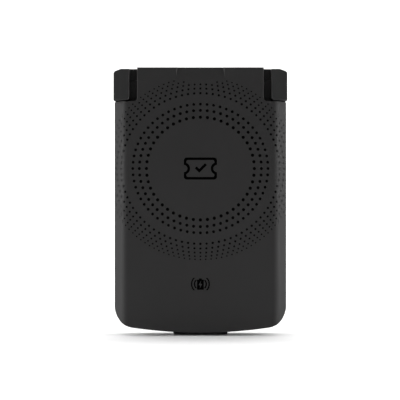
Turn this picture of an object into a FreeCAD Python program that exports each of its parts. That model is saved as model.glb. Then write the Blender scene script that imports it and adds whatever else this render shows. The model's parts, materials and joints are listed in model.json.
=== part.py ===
import FreeCAD, Part
import math
import os
import Sketcher

# Clip-on battery pack of a handheld ticket validator, charged without contacts through its back.
# Frame: +X to the right of someone looking at the outer face, +Y from the outer face towards the
# handheld, +Z up. The origin is the middle of the tray's flat face, which lies on the floor of the
# handheld's bay. Everything is in millimetres.

DIMENSIONS = [
    # overall shell
    ("pack_width", 79, "across the long sides"),
    ("pack_height", 120.6, "top edge to the lowest point of the curved end"),
    ("pack_depth", 13.4, "outer face to the tray's flat face"),
    ("bay_depth", 4.6, "how far the tray's block goes into the handheld"),
    ("cover_wall", 1.6, "wall of the outer cover"),
    ("bevel_width", 4.6, "bevel on each long side, seen from the front"),
    ("bevel_drop", 6.4, "depth of that bevel"),
    ("bevel_blend", 4.0, "radius where the bevel meets the outer face"),
    ("side_blend", 3.2, "radius where the bevel meets the side"),
    ("end_radius", 215, "radius of the curved bottom end"),
    ("corner_radius", 10.0, "bottom corners"),
    ("edge_round", 0.5, "rounding of the cover's visible edges"),
    ("shell_gap", 0.1, "clearance between cover and tray"),
    # corner notches for the latches
    ("notch_width", 10.7, "notch in each top corner, along X"),
    ("notch_height", 15.4, "the same, along Z"),
    ("notch_round", 1.6, "inner corner of the notch"),
    # pull scoop at the top edge
    ("scoop_width", 20.4, "flat width of the scoop"),
    ("scoop_height", 5.7, "how far it runs down from the top edge"),
    ("scoop_drop", 0.8, "depth at the top edge"),
    # dimple rings
    ("ring_drop", 46.0, "from the top edge to the rings' centre"),
    ("ring_first_radius", 23.33, "half height of the innermost ring"),
    ("ring_widening", 1.05, "the rings are ovals, wider than high by this factor"),
    ("ring_step", 3.073, "first step from ring to ring"),
    ("ring_step_loss", 0.2347, "each further step is smaller by this"),
    ("ring_first_count", 48, "dimples in the innermost ring"),
    ("ring_count_step", 8, "more dimples in each further ring"),
    ("ring_total", 9, "places for rings, counting the empty one"),
    ("ring_empty", 3, "place left empty between the two groups"),
    ("dimple_width", 1.45, "dimple diameter in the innermost ring"),
    ("dimple_width_loss", 0.096, "each further ring is smaller by this"),
    ("dimple_depth", 0.3, "depth of dimples and of the two symbols"),
    ("dimple_margin", 0.35, "plain plastic left between a dimple and an edge"),
    # symbols
    ("charge_symbol_rise", 22.1, "from the bottom to the charging symbol's centre"),
    ("charge_symbol_size", 8.6, "its width over the outer waves"),
    ("ticket_symbol_size", 15.0, "width of the ticket symbol"),
    # screws and their bosses
    ("screw_shank", 1.6, "thread diameter of the cover screws"),
    ("screw_head", 3.0, "head diameter"),
    ("screw_head_height", 0.9, "head height"),
    ("screw_length", 5.4, "below the head"),
    ("screw_slack", 0.1, "radial clearance around head and shank"),
    ("insert_width", 2.6, "outside of the brass inserts"),
    ("insert_length", 3.0, "their length"),
    ("boss_width", 4.4, "outside of the cover's bosses"),
    ("boss_end", 3.0, "distance from the tray's flat face to a boss's end"),
    ("top_screw_inset", 5.4, "from the tray's corner blocks to the top screws"),
    ("top_screw_drop", 8.4, "from the top edge to them"),
    ("low_screw_inset", 14.0, "from the long sides to the outer low screws"),
    ("low_screw_rise", 9.4, "from the bottom to the three low screws"),
    # tray
    ("flange_thickness", 1.4, "rim plate of the tray"),
    ("block_inset", 3.8, "from the pack's outline to the block's side"),
    ("block_top_inset", 4.4, "the same, at the top"),
    ("block_round", 1.6, "top corners of the block"),
    ("tray_wall", 1.3, "side walls of the block"),
    ("tray_floor", 1.4, "floor of the block"),
    ("pillar_width", 5.6, "tray pillars under the screw heads"),
    ("screw_sunk", 0.3, "screw heads below the tray's flat face"),
    ("ear_side_inset", 0.4, "from the pack's sides to the tray's ears"),
    ("partition_drop", 0.8, "partition between cell and boards, below the flange"),
    ("seal_width", 1.0, "section of the bay seal"),
    ("seal_height", 1.2, "the same, in depth"),
    ("seal_sunk", 0.7, "depth of its groove"),
    ("seal_inset", 2.3, "from the pack's outline to the seal"),
    ("seal_slack", 0.1, "clearance of the seal in its groove"),
    ("seal_round", 2.6, "top corners of the seal, on its outside"),
    ("toe_width", 25, "lip at the bottom end"),
    ("toe_length", 1.4, "how far the lip stands out at the middle"),
    ("tab_width", 10, "two hooks at the block's lower end"),
    ("tab_length", 1.9, "how far they stand out"),
    ("tab_thickness", 1.5, "their thickness"),
    ("tab_x", 18, "sideways place of their middles"),
    # latches
    ("latch_width", 7.2, "thumb pad, along X"),
    ("latch_gap_below", 0.5, "gap under the pad"),
    ("latch_top_inset", 0.7, "the pad's top edge below the cover's"),
    ("latch_shoulder", 3.4, "slope of the pad's outer top corner, along X"),
    ("latch_shoulder_drop", 1.3, "the same, along Z"),
    ("latch_travel", 3.0, "how far a latch is pushed in"),
    ("latch_play", 0.15, "running clearance of the latches"),
    ("latch_round", 1.4, "inner lower corner of the pad"),
    ("latch_edge", 0.4, "rounding of the pad's front edges"),
    ("grip_count", 5, "grip grooves on the pad's outer side"),
    ("grip_pitch", 1.9, "their spacing"),
    ("grip_width", 0.9, "their width"),
    ("grip_depth", 0.4, "their depth"),
    ("guide_width", 1.5, "pin that carries the spring"),
    ("guide_length", 2.6, "its length"),
    ("neck_width", 3.0, "neck through the flange, along X"),
    ("neck_height", 7.0, "the same, along Z"),
    ("hook_height", 7.2, "hook and its slide, along Z"),
    ("neck_overhang", 0.9, "the neck stands inwards of the pad by this"),
    ("shutter_thickness", 0.5, "plate on the latch that keeps the neck's slot shut"),
    ("shutter_reach", 3.6, "how far it stands inwards of the neck"),
    ("shutter_margin", 0.6, "how far it covers the rim plate above and below the slot"),
    ("hook_reach", 3.7, "the hook stands outwards of the neck by this"),
    ("hook_thickness", 2.2, "depth of the hook's nose"),
    ("hook_sunk", 1.0, "from the tray's flat face to the hook"),
    ("channel_length", 6.1, "room for the spring at rest"),
    ("channel_end_wall", 3.6, "solid tray inwards of the channel"),
    ("keeper_thickness", 0.6, "steel plate that closes a channel"),
    ("keeper_margin", 0.6, "overlap of the plate beside the channel"),
    ("keeper_round", 0.5, "corners of the plate"),
    ("keeper_slack", 0.1, "clearance of the plate in its recess"),
    ("keeper_screw_spread", 2.6, "its screws above and below the channel's middle"),
    ("keeper_screw_shank", 1.2, "thread of its screws"),
    ("keeper_screw_head", 2.0, "head diameter"),
    ("keeper_screw_length", 2.6, "below the head"),
    ("spring_outside", 2.8, "latch spring, outside diameter"),
    ("spring_wire", 0.35, "wire diameter"),
    ("spring_turns", 6, "turns"),
    # cell
    ("board_zone", 15.1, "from the top edge to the partition above the cell"),
    ("cell_side_room", 1.9, "room beside the pouch cell"),
    ("cell_rise", 14, "from the bottom to the cell"),
    ("cell_round", 2.2, "rounding of its long edges"),
    ("terrace_length", 3.0, "folded seal at its upper end"),
    ("terrace_thickness", 1.0, "the same, along Y"),
    ("bay_room", 0.6, "room between that seal and the partition"),
    ("foam_inner", 0.8, "foam between cell and tray floor"),
    ("foam_outer", 0.6, "foam on the other side"),
    ("foam_margin", 4.0, "foam kept back from the cell's edges"),
    ("sheet_thickness", 0.2, "insulating sheet"),
    ("sheet_margin", 1.0, "sheet kept back from the cell's edges"),
    ("strip_width", 4.0, "nickel strips"),
    ("strip_thickness", 0.15, "the same, along Y"),
    ("strip_x", 12.0, "sideways place of the strips"),
    ("cutoff_width", 7.0, "thermal cut-off, along X"),
    ("cutoff_height", 2.6, "the same, along Z"),
    ("cutoff_depth", 1.1, "the same, along Y"),
    # wireless charging
    ("coil_outer", 21.5, "outer radius of the coil"),
    ("coil_inner", 10.0, "inner radius"),
    ("coil_thickness", 0.8, "along Y"),
    ("coil_rib", 0.8, "locating rib round the coil, width"),
    ("coil_rib_height", 0.5, "the same, along Y"),
    ("coil_fit", 0.3, "clearance inside the rib"),
    ("rib_opening", 10, "gap in the rib for the leads"),
    ("stack_gap", 0.4, "air between the ferrite and the insulating sheet"),
    ("ferrite_size", 48, "side of the ferrite sheet"),
    ("ferrite_thickness", 0.6, "along Y"),
    ("ferrite_round", 3.0, "corners of the sheet"),
    ("lead_width", 0.5, "coil leads, diameter"),
    ("lead_x", 3.0, "sideways place of the leads"),
    # boards
    ("board_thickness", 0.8, "protection board"),
    ("board_width", 27, "along X"),
    ("board_rise", 0.5, "from the partition to both boards' lower edge"),
    ("board_height", 8.4, "along Z"),
    ("board_ledge", 0.9, "how far the tray carries the protection board's ends"),
    ("board_gap", 0.15, "clearance round the protection board"),
    ("contact_drop", 0.4, "contacts below the tray's flat face"),
    ("receiver_thickness", 0.6, "receiver board"),
    ("lead_overlap", 1.2, "leads under the receiver board"),
    ("receiver_gap", 0.8, "from the cover's inside to that board"),
    ("link_width", 8.0, "header between the boards"),
    ("link_height", 2.4, "the same, along Z"),
    ("link_rise", 0.8, "from the boards' lower edge to it"),
    # contacts
    ("contact_width", 20.4, "contact block, along X"),
    ("contact_height", 5.6, "the same, along Z"),
    ("contact_rise", 5.2, "from the boards' lower edge to its middle"),
    ("contact_count", 6, "pads"),
    ("contact_pitch", 3.1, "pad spacing"),
    ("pad_width", 1.7, "one pad, along X"),
    ("pad_height", 3.8, "the same, along Z"),
    ("pad_sunk", 0.15, "pads below the block's face"),
    ("pad_thickness", 0.3, "thickness of a pad"),
    ("window_slack", 0.2, "clearance of the block in the tray's window"),
    # label
    ("label_width", 54, "blank label"),
    ("label_height", 34, "the same, along Z"),
    ("label_rise", 35, "from the bottom to its middle"),
    ("label_thickness", 0.12, "its thickness"),
    ("label_sunk", 0.25, "depth of its recess"),
    ("label_round", 2.0, "its corners"),
]

# Places and sizes that follow from the sheet, by the names that the expressions below use
DERIVED = {
    "ring_centre_z": "pack_height / 2 - ring_drop",
    "charge_symbol_z": "charge_symbol_rise - pack_height / 2",
    "corner_block_x": "pack_width / 2 - latch_width - neck_overhang - channel_length - channel_end_wall",
    "top_screw_x": "corner_block_x - top_screw_inset",
    "top_screw_z": "pack_height / 2 - top_screw_drop",
    "low_screw_x": "pack_width / 2 - low_screw_inset",
    "low_screw_z": "low_screw_rise - pack_height / 2",
    "cell_width": "pack_width - 2 * (block_inset + tray_wall + cell_side_room)",
    "cell_low_z": "cell_rise - pack_height / 2",
    "cell_bay_top": "pack_height / 2 - board_zone - tray_wall",
    "cell_top": "cell_bay_top - bay_room - terrace_length",
    "board_low_z": "pack_height / 2 - board_zone + board_rise",
    "contact_z": "board_low_z + contact_rise",
    "link_z": "board_low_z + link_rise",
    "label_z": "label_rise - pack_height / 2",
}

X_DIRECTION = FreeCAD.Vector(1, 0, 0)
Y_DIRECTION = FreeCAD.Vector(0, 1, 0)
Z_DIRECTION = FreeCAD.Vector(0, 0, 1)
ON_AXIS = 1e-9
TOUCHING = 1e-4

doc = FreeCAD.newDocument("battery_pack")


def make_sheet():
    """The spreadsheet of driving dimensions: name, value, note."""
    sheet = doc.addObject("Spreadsheet::Sheet", "Dims")
    for row, (alias, value, note) in enumerate(DIMENSIONS, start=1):
        sheet.set(f"A{row}", alias)
        sheet.set(f"B{row}", str(value))
        sheet.set(f"C{row}", note)
        sheet.setAlias(f"B{row}", alias)
    doc.recompute()
    return sheet


dims = make_sheet()


def written_out(expression, prefix):
    """The expression with derived names replaced by what they stand for, and a prefix before each alias."""
    words = []
    word = ""
    for letter in expression + " ":
        if letter.isalnum() or letter == "_":
            word += letter
            continue
        if word in DERIVED:
            word = f"({written_out(DERIVED[word], prefix)})"
        elif word in ALIASES:
            word = prefix + word
        words += [word, letter]
        word = ""
    return "".join(words).strip()


def value(expression):
    """A plain number from an expression over the sheet."""
    return float(dims.evalExpression(written_out(expression, "")))


def bound(expression):
    """The expression as another object has to write it, with the sheet's name before each alias."""
    return written_out(expression, "Dims.")


ALIASES = {alias for alias, _, _ in DIMENSIONS}

# Levels along Y, as expressions over the sheet
OUTER_FACE = "-pack_depth"
COVER_INSIDE = "-pack_depth + cover_wall"
RIM = "-bay_depth"
FLANGE_TOP = "-bay_depth - flange_thickness"
TRAY_FLOOR = "-tray_floor"
CELL_INNER = "-tray_floor - foam_inner"
COIL_INNER = f"{COVER_INSIDE} + coil_thickness"
SHEET_OUTER = f"{COIL_INNER} + ferrite_thickness + stack_gap"
SHEET_INNER = f"{SHEET_OUTER} + sheet_thickness"
CELL_OUTER = f"{SHEET_INNER} + foam_outer"
BOARD_INNER = "-bay_depth"
BOARD_OUTER = "-bay_depth - board_thickness"
RECEIVER_OUTER = "-pack_depth + cover_wall + receiver_gap"
RECEIVER_INNER = "-pack_depth + cover_wall + receiver_gap + receiver_thickness"
CONTACT_FACE = "-contact_drop"

# Places in the XZ plane
HALF_WIDTH = "pack_width / 2"
TOP = "pack_height / 2"
NOTCH_X = "(pack_width / 2 - notch_width)"
NOTCH_Z = "(pack_height / 2 - notch_height)"
BLOCK_SIDE = "(pack_width / 2 - block_inset)"
BLOCK_TOP = "(pack_height / 2 - block_top_inset)"
PAD_INNER = "(pack_width / 2 - latch_width)"
NECK_INNER = "(pack_width / 2 - latch_width - neck_overhang)"
NECK_MIDDLE_Z = "(pack_height / 2 - block_top_inset - tray_wall - latch_play - hook_height / 2)"
CHANNEL_INNER = f"({NECK_INNER} - channel_length)"


def new_body(name):
    """An empty body; a name that starts with tool_ is only used to shape others."""
    body = doc.addObject("PartDesign::Body", name)
    body.Label = name
    return body


def new_sketch(body, name, plane="XZ_Plane", level="0"):
    """A sketch on one of the body's own planes, moved along +Y (XZ plane) or +Z (XY plane) to a level."""
    sketch = body.newObject("Sketcher::SketchObject", name)
    origin_plane = [p for p in body.Origin.OriginFeatures if p.Role == plane][0]
    sketch.AttachmentSupport = [(origin_plane, "")]
    sketch.MapMode = "FlatFace"
    # The normal of the XZ plane points along -Y.
    sign = "-" if plane == "XZ_Plane" else ""
    sketch.setExpression("AttachmentOffset.Base.z", bound(f"{sign}({level})"))
    doc.recompute()
    return sketch


def pin_point(sketch, edge, end, place):
    """Fixes one end of an edge at a place given as two expressions."""
    for axis, expression in enumerate(place):
        number = value(expression)
        if abs(number) < ON_AXIS:
            sketch.addConstraint(Sketcher.Constraint("PointOnObject", edge, end, -2 + axis))
            continue
        kind = "DistanceX" if axis == 0 else "DistanceY"
        index = sketch.addConstraint(Sketcher.Constraint(kind, -1, 1, edge, end, number))
        sketch.setExpression(f"Constraints[{index}]", bound(expression))


def add_polygon(sketch, places, arcs=None):
    """A closed outline through places. arcs maps an edge's number to the radius of an arc that bulges down."""
    arcs = arcs or {}
    first = sketch.GeometryCount
    points = [FreeCAD.Vector(value(a), value(b), 0) for a, b in places]
    total = len(points)
    for number, start in enumerate(points):
        end = points[(number + 1) % total]
        if number not in arcs:
            sketch.addGeometry(Part.LineSegment(start, end), False)
            continue
        radius = value(arcs[number])
        half_chord = (end - start).Length / 2
        centre = (start + end) / 2 + FreeCAD.Vector(0, math.sqrt(radius**2 - half_chord**2), 0)
        circle = Part.Circle(centre, Z_DIRECTION, radius)
        angles = [math.atan2(p.y - centre.y, p.x - centre.x) for p in (start, end)]
        sketch.addGeometry(Part.ArcOfCircle(circle, *angles), False)
    for number in range(total):
        following = first + (number + 1) % total
        sketch.addConstraint(Sketcher.Constraint("Coincident", first + number, 2, following, 1))
    for number, place in enumerate(places):
        pin_point(sketch, first + number, 1, place)
    for number, radius in arcs.items():
        index = sketch.addConstraint(Sketcher.Constraint("Radius", first + number, value(radius)))
        sketch.setExpression(f"Constraints[{index}]", bound(radius))


def add_rectangle(sketch, left, low, right, high):
    """A rectangle from its four sides, each an expression."""
    add_polygon(sketch, [(left, low), (right, low), (right, high), (left, high)])


def add_circle(sketch, x, z, radius):
    """A circle from its centre and radius, each an expression."""
    centre = FreeCAD.Vector(value(x), value(z), 0)
    edge = sketch.addGeometry(Part.Circle(centre, Z_DIRECTION, value(radius)), False)
    pin_point(sketch, edge, 3, (x, z))
    index = sketch.addConstraint(Sketcher.Constraint("Radius", edge, value(radius)))
    sketch.setExpression(f"Constraints[{index}]", bound(radius))


def finish_feature(body, feature, grows):
    """Recomputes and stops with a plain message if the feature changed nothing."""
    before = body.Shape.Volume if not body.Shape.isNull() else 0
    doc.recompute()
    gained = body.Shape.Volume - before
    if "Invalid" in feature.State or gained * (1 if grows else -1) <= 0:
        raise RuntimeError(f"{body.Label}: {feature.Name} left the solid as it was")
    return feature


def pad(body, sketch, name, length, midplane=False):
    """Adds material from the sketch: towards -Y from the XZ plane, towards +Z from the XY plane."""
    feature = body.newObject("PartDesign::Pad", name)
    feature.Profile = sketch
    feature.Midplane = midplane
    feature.setExpression("Length", bound(length))
    sketch.Visibility = False
    return finish_feature(body, feature, grows=True)


def pocket(body, sketch, name, length, towards_outside=False):
    """Takes material away from the XZ sketch: towards +Y, or towards -Y if towards_outside."""
    feature = body.newObject("PartDesign::Pocket", name)
    feature.Profile = sketch
    feature.Reversed = towards_outside
    feature.setExpression("Length", bound(length))
    sketch.Visibility = False
    return finish_feature(body, feature, grows=False)


def slab(body, name, low_y, high_y, draw):
    """A pad between two levels along Y. draw(sketch) draws its outline."""
    sketch = new_sketch(body, f"{name}_outline", level=high_y)
    draw(sketch)
    return pad(body, sketch, name, f"({high_y}) - ({low_y})")


def cut_from_outside(body, name, low_y, high_y, draw):
    """A pocket that opens towards the outer face and stops at high_y."""
    sketch = new_sketch(body, f"{name}_outline", level=low_y)
    draw(sketch)
    return pocket(body, sketch, name, f"({high_y}) - ({low_y})")


def cut_from_inside(body, name, low_y, high_y, draw):
    """A pocket that opens towards the handheld and stops at low_y."""
    sketch = new_sketch(body, f"{name}_outline", level=high_y)
    draw(sketch)
    return pocket(body, sketch, name, f"({high_y}) - ({low_y})", towards_outside=True)


def edges_where(shape, test):
    """Names of the shape's edges that pass the test."""
    return [f"Edge{number}" for number, edge in enumerate(shape.Edges, start=1) if test(edge)]


def runs_along(edge, direction):
    """True for a straight edge parallel to the direction."""
    if not isinstance(edge.Curve, Part.Line):
        return False
    return abs(abs(edge.tangentAt(edge.FirstParameter).dot(direction)) - 1) < 1e-6


def middle_of(edge):
    return edge.valueAt((edge.FirstParameter + edge.LastParameter) / 2)


def corners_at(places):
    """A test for edges along Y that stand at one of the places in the XZ plane."""
    targets = [(value(x), value(z)) for x, z in places]

    def test(edge):
        if not runs_along(edge, Y_DIRECTION):
            return False
        point = middle_of(edge)
        return any(math.hypot(point.x - x, point.z - z) < 0.01 for x, z in targets)

    return test


def lies_at_level(level):
    """A test for edges that lie wholly at one level along Y."""
    return lambda edge: all(abs(vertex.Point.y - value(level)) < 0.01 for vertex in edge.Vertexes)


def fillet(body, name, radius, test):
    """Rounds the edges of the body that pass the test."""
    base = body.Tip
    names = edges_where(base.Shape, test)
    if not names:
        raise RuntimeError(f"{body.Label}: no edge to round for {name}")
    feature = body.newObject("PartDesign::Fillet", name)
    feature.Base = (base, names)
    feature.setExpression("Radius", bound(radius))
    doc.recompute()
    if "Invalid" in feature.State or not feature.Shape.isValid():
        raise RuntimeError(f"{body.Label}: {name} could not be rounded")
    return feature


def combine(body, name, kind, others):
    """A boolean inside a body: Fuse, Cut or Common with other bodies."""
    feature = body.newObject("PartDesign::Boolean", name)
    feature.Type = kind
    feature.setObjects(others)
    doc.recompute()
    if "Invalid" in feature.State or feature.Shape.isNull():
        raise RuntimeError(f"{body.Label}: {name} failed")
    return feature


def box(name, low, high):
    """A box between two corners, each given as three expressions."""
    made = doc.addObject("Part::Box", name)
    made.Label = name
    for side, start, end in zip(("Length", "Width", "Height"), low, high):
        made.setExpression(side, bound(f"({end}) - ({start})"))
    for axis, start in zip("xyz", low):
        made.setExpression(f"Placement.Base.{axis}", bound(start))
    return made


def rod(name, radius, start, length, direction):
    """A cylinder from a start point along +X, +Y or +Z."""
    made = doc.addObject("Part::Cylinder", name)
    made.Label = name
    made.setExpression("Radius", bound(radius))
    made.setExpression("Height", bound(length))
    made.Placement.Rotation = FreeCAD.Rotation(Z_DIRECTION, direction)
    for axis, place in zip("xyz", start):
        made.setExpression(f"Placement.Base.{axis}", bound(place))
    return made


def group_of(label, members):
    """One node that holds several separate solids."""
    made = doc.addObject("Part::Compound", label)
    made.Label = label
    made.Links = members
    doc.recompute()
    return made


def mirrored(label, source):
    """The same piece on the other side of the YZ plane."""
    made = doc.addObject("Part::Mirroring", label)
    made.Label = label
    made.Source = source
    made.Normal = X_DIRECTION
    doc.recompute()
    return made


def end_centre():
    """Height of the centre of the curved bottom end."""
    return "(end_radius - pack_height / 2)"


def draw_plan(sketch, inset, top=None, notched=False):
    """The pack's plan outline, moved inwards by inset, with sharp corners."""
    side = f"(pack_width / 2 - ({inset}))"
    low = f"({end_centre()} - sqrt((end_radius - ({inset}))^2 - {side}^2))"
    top = top or f"(pack_height / 2 - ({inset}))"
    places = [(f"-{side}", low), (side, low)]
    if notched:
        notch_x = f"({NOTCH_X} - ({inset}))"
        notch_z = f"({NOTCH_Z} - ({inset}))"
        places += [(side, notch_z), (notch_x, notch_z), (notch_x, top)]
        places += [(f"-{notch_x}", top), (f"-{notch_x}", notch_z), (f"-{side}", notch_z)]
    else:
        places += [(side, top), (f"-{side}", top)]
    add_polygon(sketch, places, arcs={0: f"end_radius - ({inset})"})
    return places


def plan_prism(name, inset, low_y, high_y):
    """A prism with the notched plan outline between two levels, its corners rounded."""
    body = new_body(name)
    sketch = new_sketch(body, f"{name}_outline", level=high_y)
    places = draw_plan(sketch, inset, notched=True)
    pad(body, sketch, f"{name}_pad", f"({high_y}) - ({low_y})")
    fillet(body, f"{name}_low", f"corner_radius - ({inset})", corners_at(places[:2]))
    fillet(body, f"{name}_notch", f"notch_round + ({inset})", corners_at([places[3], places[6]]))
    return body


def cover_form(name, inset, edge_round=None):
    """The cover's solid outer form, moved inwards by inset: bevelled section times plan outline."""
    lean = "atan(bevel_drop / bevel_width)"
    front = f"(-pack_depth + ({inset}))"
    side = f"(pack_width / 2 - ({inset}))"
    bevel_x = f"(pack_width / 2 - bevel_width - ({inset}) * tan({lean} / 2))"
    bevel_y = f"(-pack_depth + bevel_drop + ({inset}) * tan((90 deg - {lean}) / 2))"
    body = new_body(name)
    section = new_sketch(body, f"{name}_section", plane="XY_Plane", level="-pack_height / 2 - 1")
    half = [(side, RIM), (side, bevel_y), (bevel_x, front)]
    add_polygon(section, half + [(f"-{x}", y) for x, y in reversed(half)])
    pad(body, section, f"{name}_length", "pack_height + 2")

    def stands_at(x, y):
        def test(edge):
            point = middle_of(edge)
            near = math.hypot(abs(point.x) - value(x), point.y - value(y)) < 0.01
            return near and runs_along(edge, Z_DIRECTION)

        return test

    fillet(body, f"{name}_bevel_blend", f"bevel_blend - ({inset})", stands_at(bevel_x, front))
    fillet(body, f"{name}_side_blend", f"side_blend - ({inset})", stands_at(side, bevel_y))
    prism = plan_prism(f"{name}_plan", inset, front, RIM)
    if edge_round:
        fillet(prism, f"{name}_front_edges", edge_round, lies_at_level(front))
    combine(body, f"{name}_trim", "Common", [prism])
    return body


def draw_both_sides(sketch, inner, low, outer, high):
    """The same rectangle on the right and mirrored on the left."""
    add_rectangle(sketch, inner, low, outer, high)
    add_rectangle(sketch, f"-({outer})", low, f"-({inner})", high)


def rectangle_of(left, low, right, high):
    """A function that draws one rectangle, for slab and cut calls."""
    return lambda sketch: add_rectangle(sketch, left, low, right, high)


def pair_of(inner, low, outer, high):
    """The same for a rectangle on each side."""
    return lambda sketch: draw_both_sides(sketch, inner, low, outer, high)


def circles_at(places, radius):
    """A function that draws a circle at each place."""

    def draw(sketch):
        for x, z in places:
            add_circle(sketch, x, z, radius)

    return draw


SCREW_PLACES = [
    ("top_screw_x", "top_screw_z"),
    ("-top_screw_x", "top_screw_z"),
    ("low_screw_x", "low_screw_z"),
    ("0", "low_screw_z"),
    ("-low_screw_x", "low_screw_z"),
]
KEEPER_SCREW_X = f"(corner_block_x + channel_end_wall / 2)"
SLIDE_LOW = f"({NECK_MIDDLE_Z} - hook_height / 2)"
SLIDE_HIGH = f"({NECK_MIDDLE_Z} + hook_height / 2)"
SLIDE_MIDDLE_Y = f"(({RIM}) - keeper_thickness) / 2"
BOARD_HIGH_Z = "(board_low_z + board_height)"


def dimple_places():
    """Where the dimples stand: rings about one centre, each ring a little closer to the last."""
    step = value("ring_step")
    loss = value("ring_step_loss")
    margin = value("dimple_margin")
    for ring in range(int(value("ring_total"))):
        if ring == int(value("ring_empty")):
            continue
        ring_radius = value("ring_first_radius") + step * ring - loss * ring * (ring - 1) / 2
        radius = value("dimple_width") / 2 - value("dimple_width_loss") / 2 * ring
        count = int(value("ring_first_count") + value("ring_count_step") * ring)
        for number in range(count):
            angle = 2 * math.pi * number / count
            x = ring_radius * value("ring_widening") * math.cos(angle)
            z = value("ring_centre_z") + ring_radius * math.sin(angle)
            if is_on_plain_face(abs(x), z, radius + margin):
                yield x, z, radius


def is_on_plain_face(x, z, room):
    """True where a dimple stays clear of the outline, the notches and the scoop."""
    in_outline = x < value(HALF_WIDTH) - room and z < value(TOP) - room
    in_notch = x > value(NOTCH_X) - room and z > value(NOTCH_Z) - room
    in_scoop = x < value("scoop_width / 2 + scoop_drop") + room and z > value(f"{TOP} - scoop_height") - room
    return in_outline and not in_notch and not in_scoop


def make_dimples():
    """Pins that reach through the outer face wherever a dimple stands."""
    made = doc.addObject("Part::Feature", "tool_dimples")
    start_y = value(OUTER_FACE) - 1
    length = value("bevel_drop") + 1
    pins = []
    for x, z, radius in dimple_places():
        pins.append(Part.makeCylinder(radius, length, FreeCAD.Vector(x, start_y, z), Y_DIRECTION))
    made.Shape = Part.makeCompound(pins)
    return made


def symbol_levels():
    """From in front of the outer face to well under it."""
    return f"{OUTER_FACE} - 1", f"{OUTER_FACE} + 2"


def make_waves(name, radius, half_height):
    """Two facing arcs: a tube about the symbol's centre, cut to a band."""
    low, high = symbol_levels()
    body = new_body(name)
    slab(body, f"{name}_disc", low, high, circles_at([("0", "charge_symbol_z")], radius))
    inner = f"{radius} - charge_symbol_size * 0.07"
    cut_from_outside(body, f"{name}_hole", low, high, circles_at([("0", "charge_symbol_z")], inner))
    above = (f"-({radius}) - 1", f"charge_symbol_z + {half_height}", f"{radius} + 1", "charge_symbol_z + 9")
    below = (f"-({radius}) - 1", "charge_symbol_z - 9", f"{radius} + 1", f"charge_symbol_z - {half_height}")
    cut_from_outside(body, f"{name}_above", low, high, rectangle_of(*above))
    cut_from_outside(body, f"{name}_below", low, high, rectangle_of(*below))
    return body


def make_battery_symbol():
    """A small battery outline with a bolt left standing in it."""
    low, high = symbol_levels()
    body = new_body("tool_battery")
    unit = "charge_symbol_size"
    centre = "charge_symbol_z"

    def draw(sketch):
        half = f"{unit} * 0.175"
        tip = f"{unit} * 0.07"
        base = f"{centre} - {unit} * 0.3"
        shoulder = f"{centre} + {unit} * 0.235"
        top = f"{centre} + {unit} * 0.3"
        right = [(half, base), (half, shoulder), (tip, shoulder), (tip, top)]
        add_polygon(sketch, right + [(f"-({x})", z) for x, z in reversed(right)])
        bolt = [
            (0.035, 0.19),
            (-0.095, -0.055),
            (-0.01, -0.055),
            (-0.035, -0.24),
            (0.095, 0.01),
            (0.01, 0.01),
        ]
        add_polygon(sketch, [(f"{unit} * {x}", f"{centre} + {unit} * {z}") for x, z in bolt])

    slab(body, "battery", low, high, draw)
    return body


def ticket_form(name, inset):
    """A ticket with a bite out of each short side, moved inwards by inset."""
    low, high = symbol_levels()
    body = new_body(name)
    half_width = f"ticket_symbol_size / 2 - {inset}"
    half_height = f"ticket_symbol_size / 3 - {inset}"
    middle = "ring_centre_z"
    outline = (f"-({half_width})", f"{middle} - ({half_height})", half_width, f"{middle} + {half_height}")
    slab(body, f"{name}_card", low, high, rectangle_of(*outline))
    corners = [(side, edge) for side in (outline[0], outline[2]) for edge in (outline[1], outline[3])]
    fillet(body, f"{name}_corners", f"ticket_symbol_size * 0.09 - {inset} / 2", corners_at(corners))
    bites = [("ticket_symbol_size / 2", middle), ("-ticket_symbol_size / 2", middle)]
    cut_from_outside(
        body,
        f"{name}_bites",
        low,
        high,
        circles_at(bites, f"ticket_symbol_size * 0.11 + {inset}"),
    )
    return body


def make_ticket_symbol():
    """The outline of a ticket with a tick in it."""
    low, high = symbol_levels()
    stroke = "ticket_symbol_size * 0.075"
    card = ticket_form("tool_ticket", "0")
    hollow = ticket_form("tool_ticket_hollow", stroke)
    combine(card, "ticket_outline", "Cut", [hollow])
    tick = new_body("tool_tick")

    def draw(sketch):
        points = [
            (-0.17, 0.01),
            (-0.115, 0.065),
            (-0.035, -0.015),
            (0.14, 0.16),
            (0.195, 0.105),
            (-0.035, -0.125),
        ]
        size = "ticket_symbol_size"
        add_polygon(sketch, [(f"{size} * {x}", f"ring_centre_z + {size} * ({z})") for x, z in points])

    slab(tick, "tick", low, high, draw)
    return [card, tick]


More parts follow.
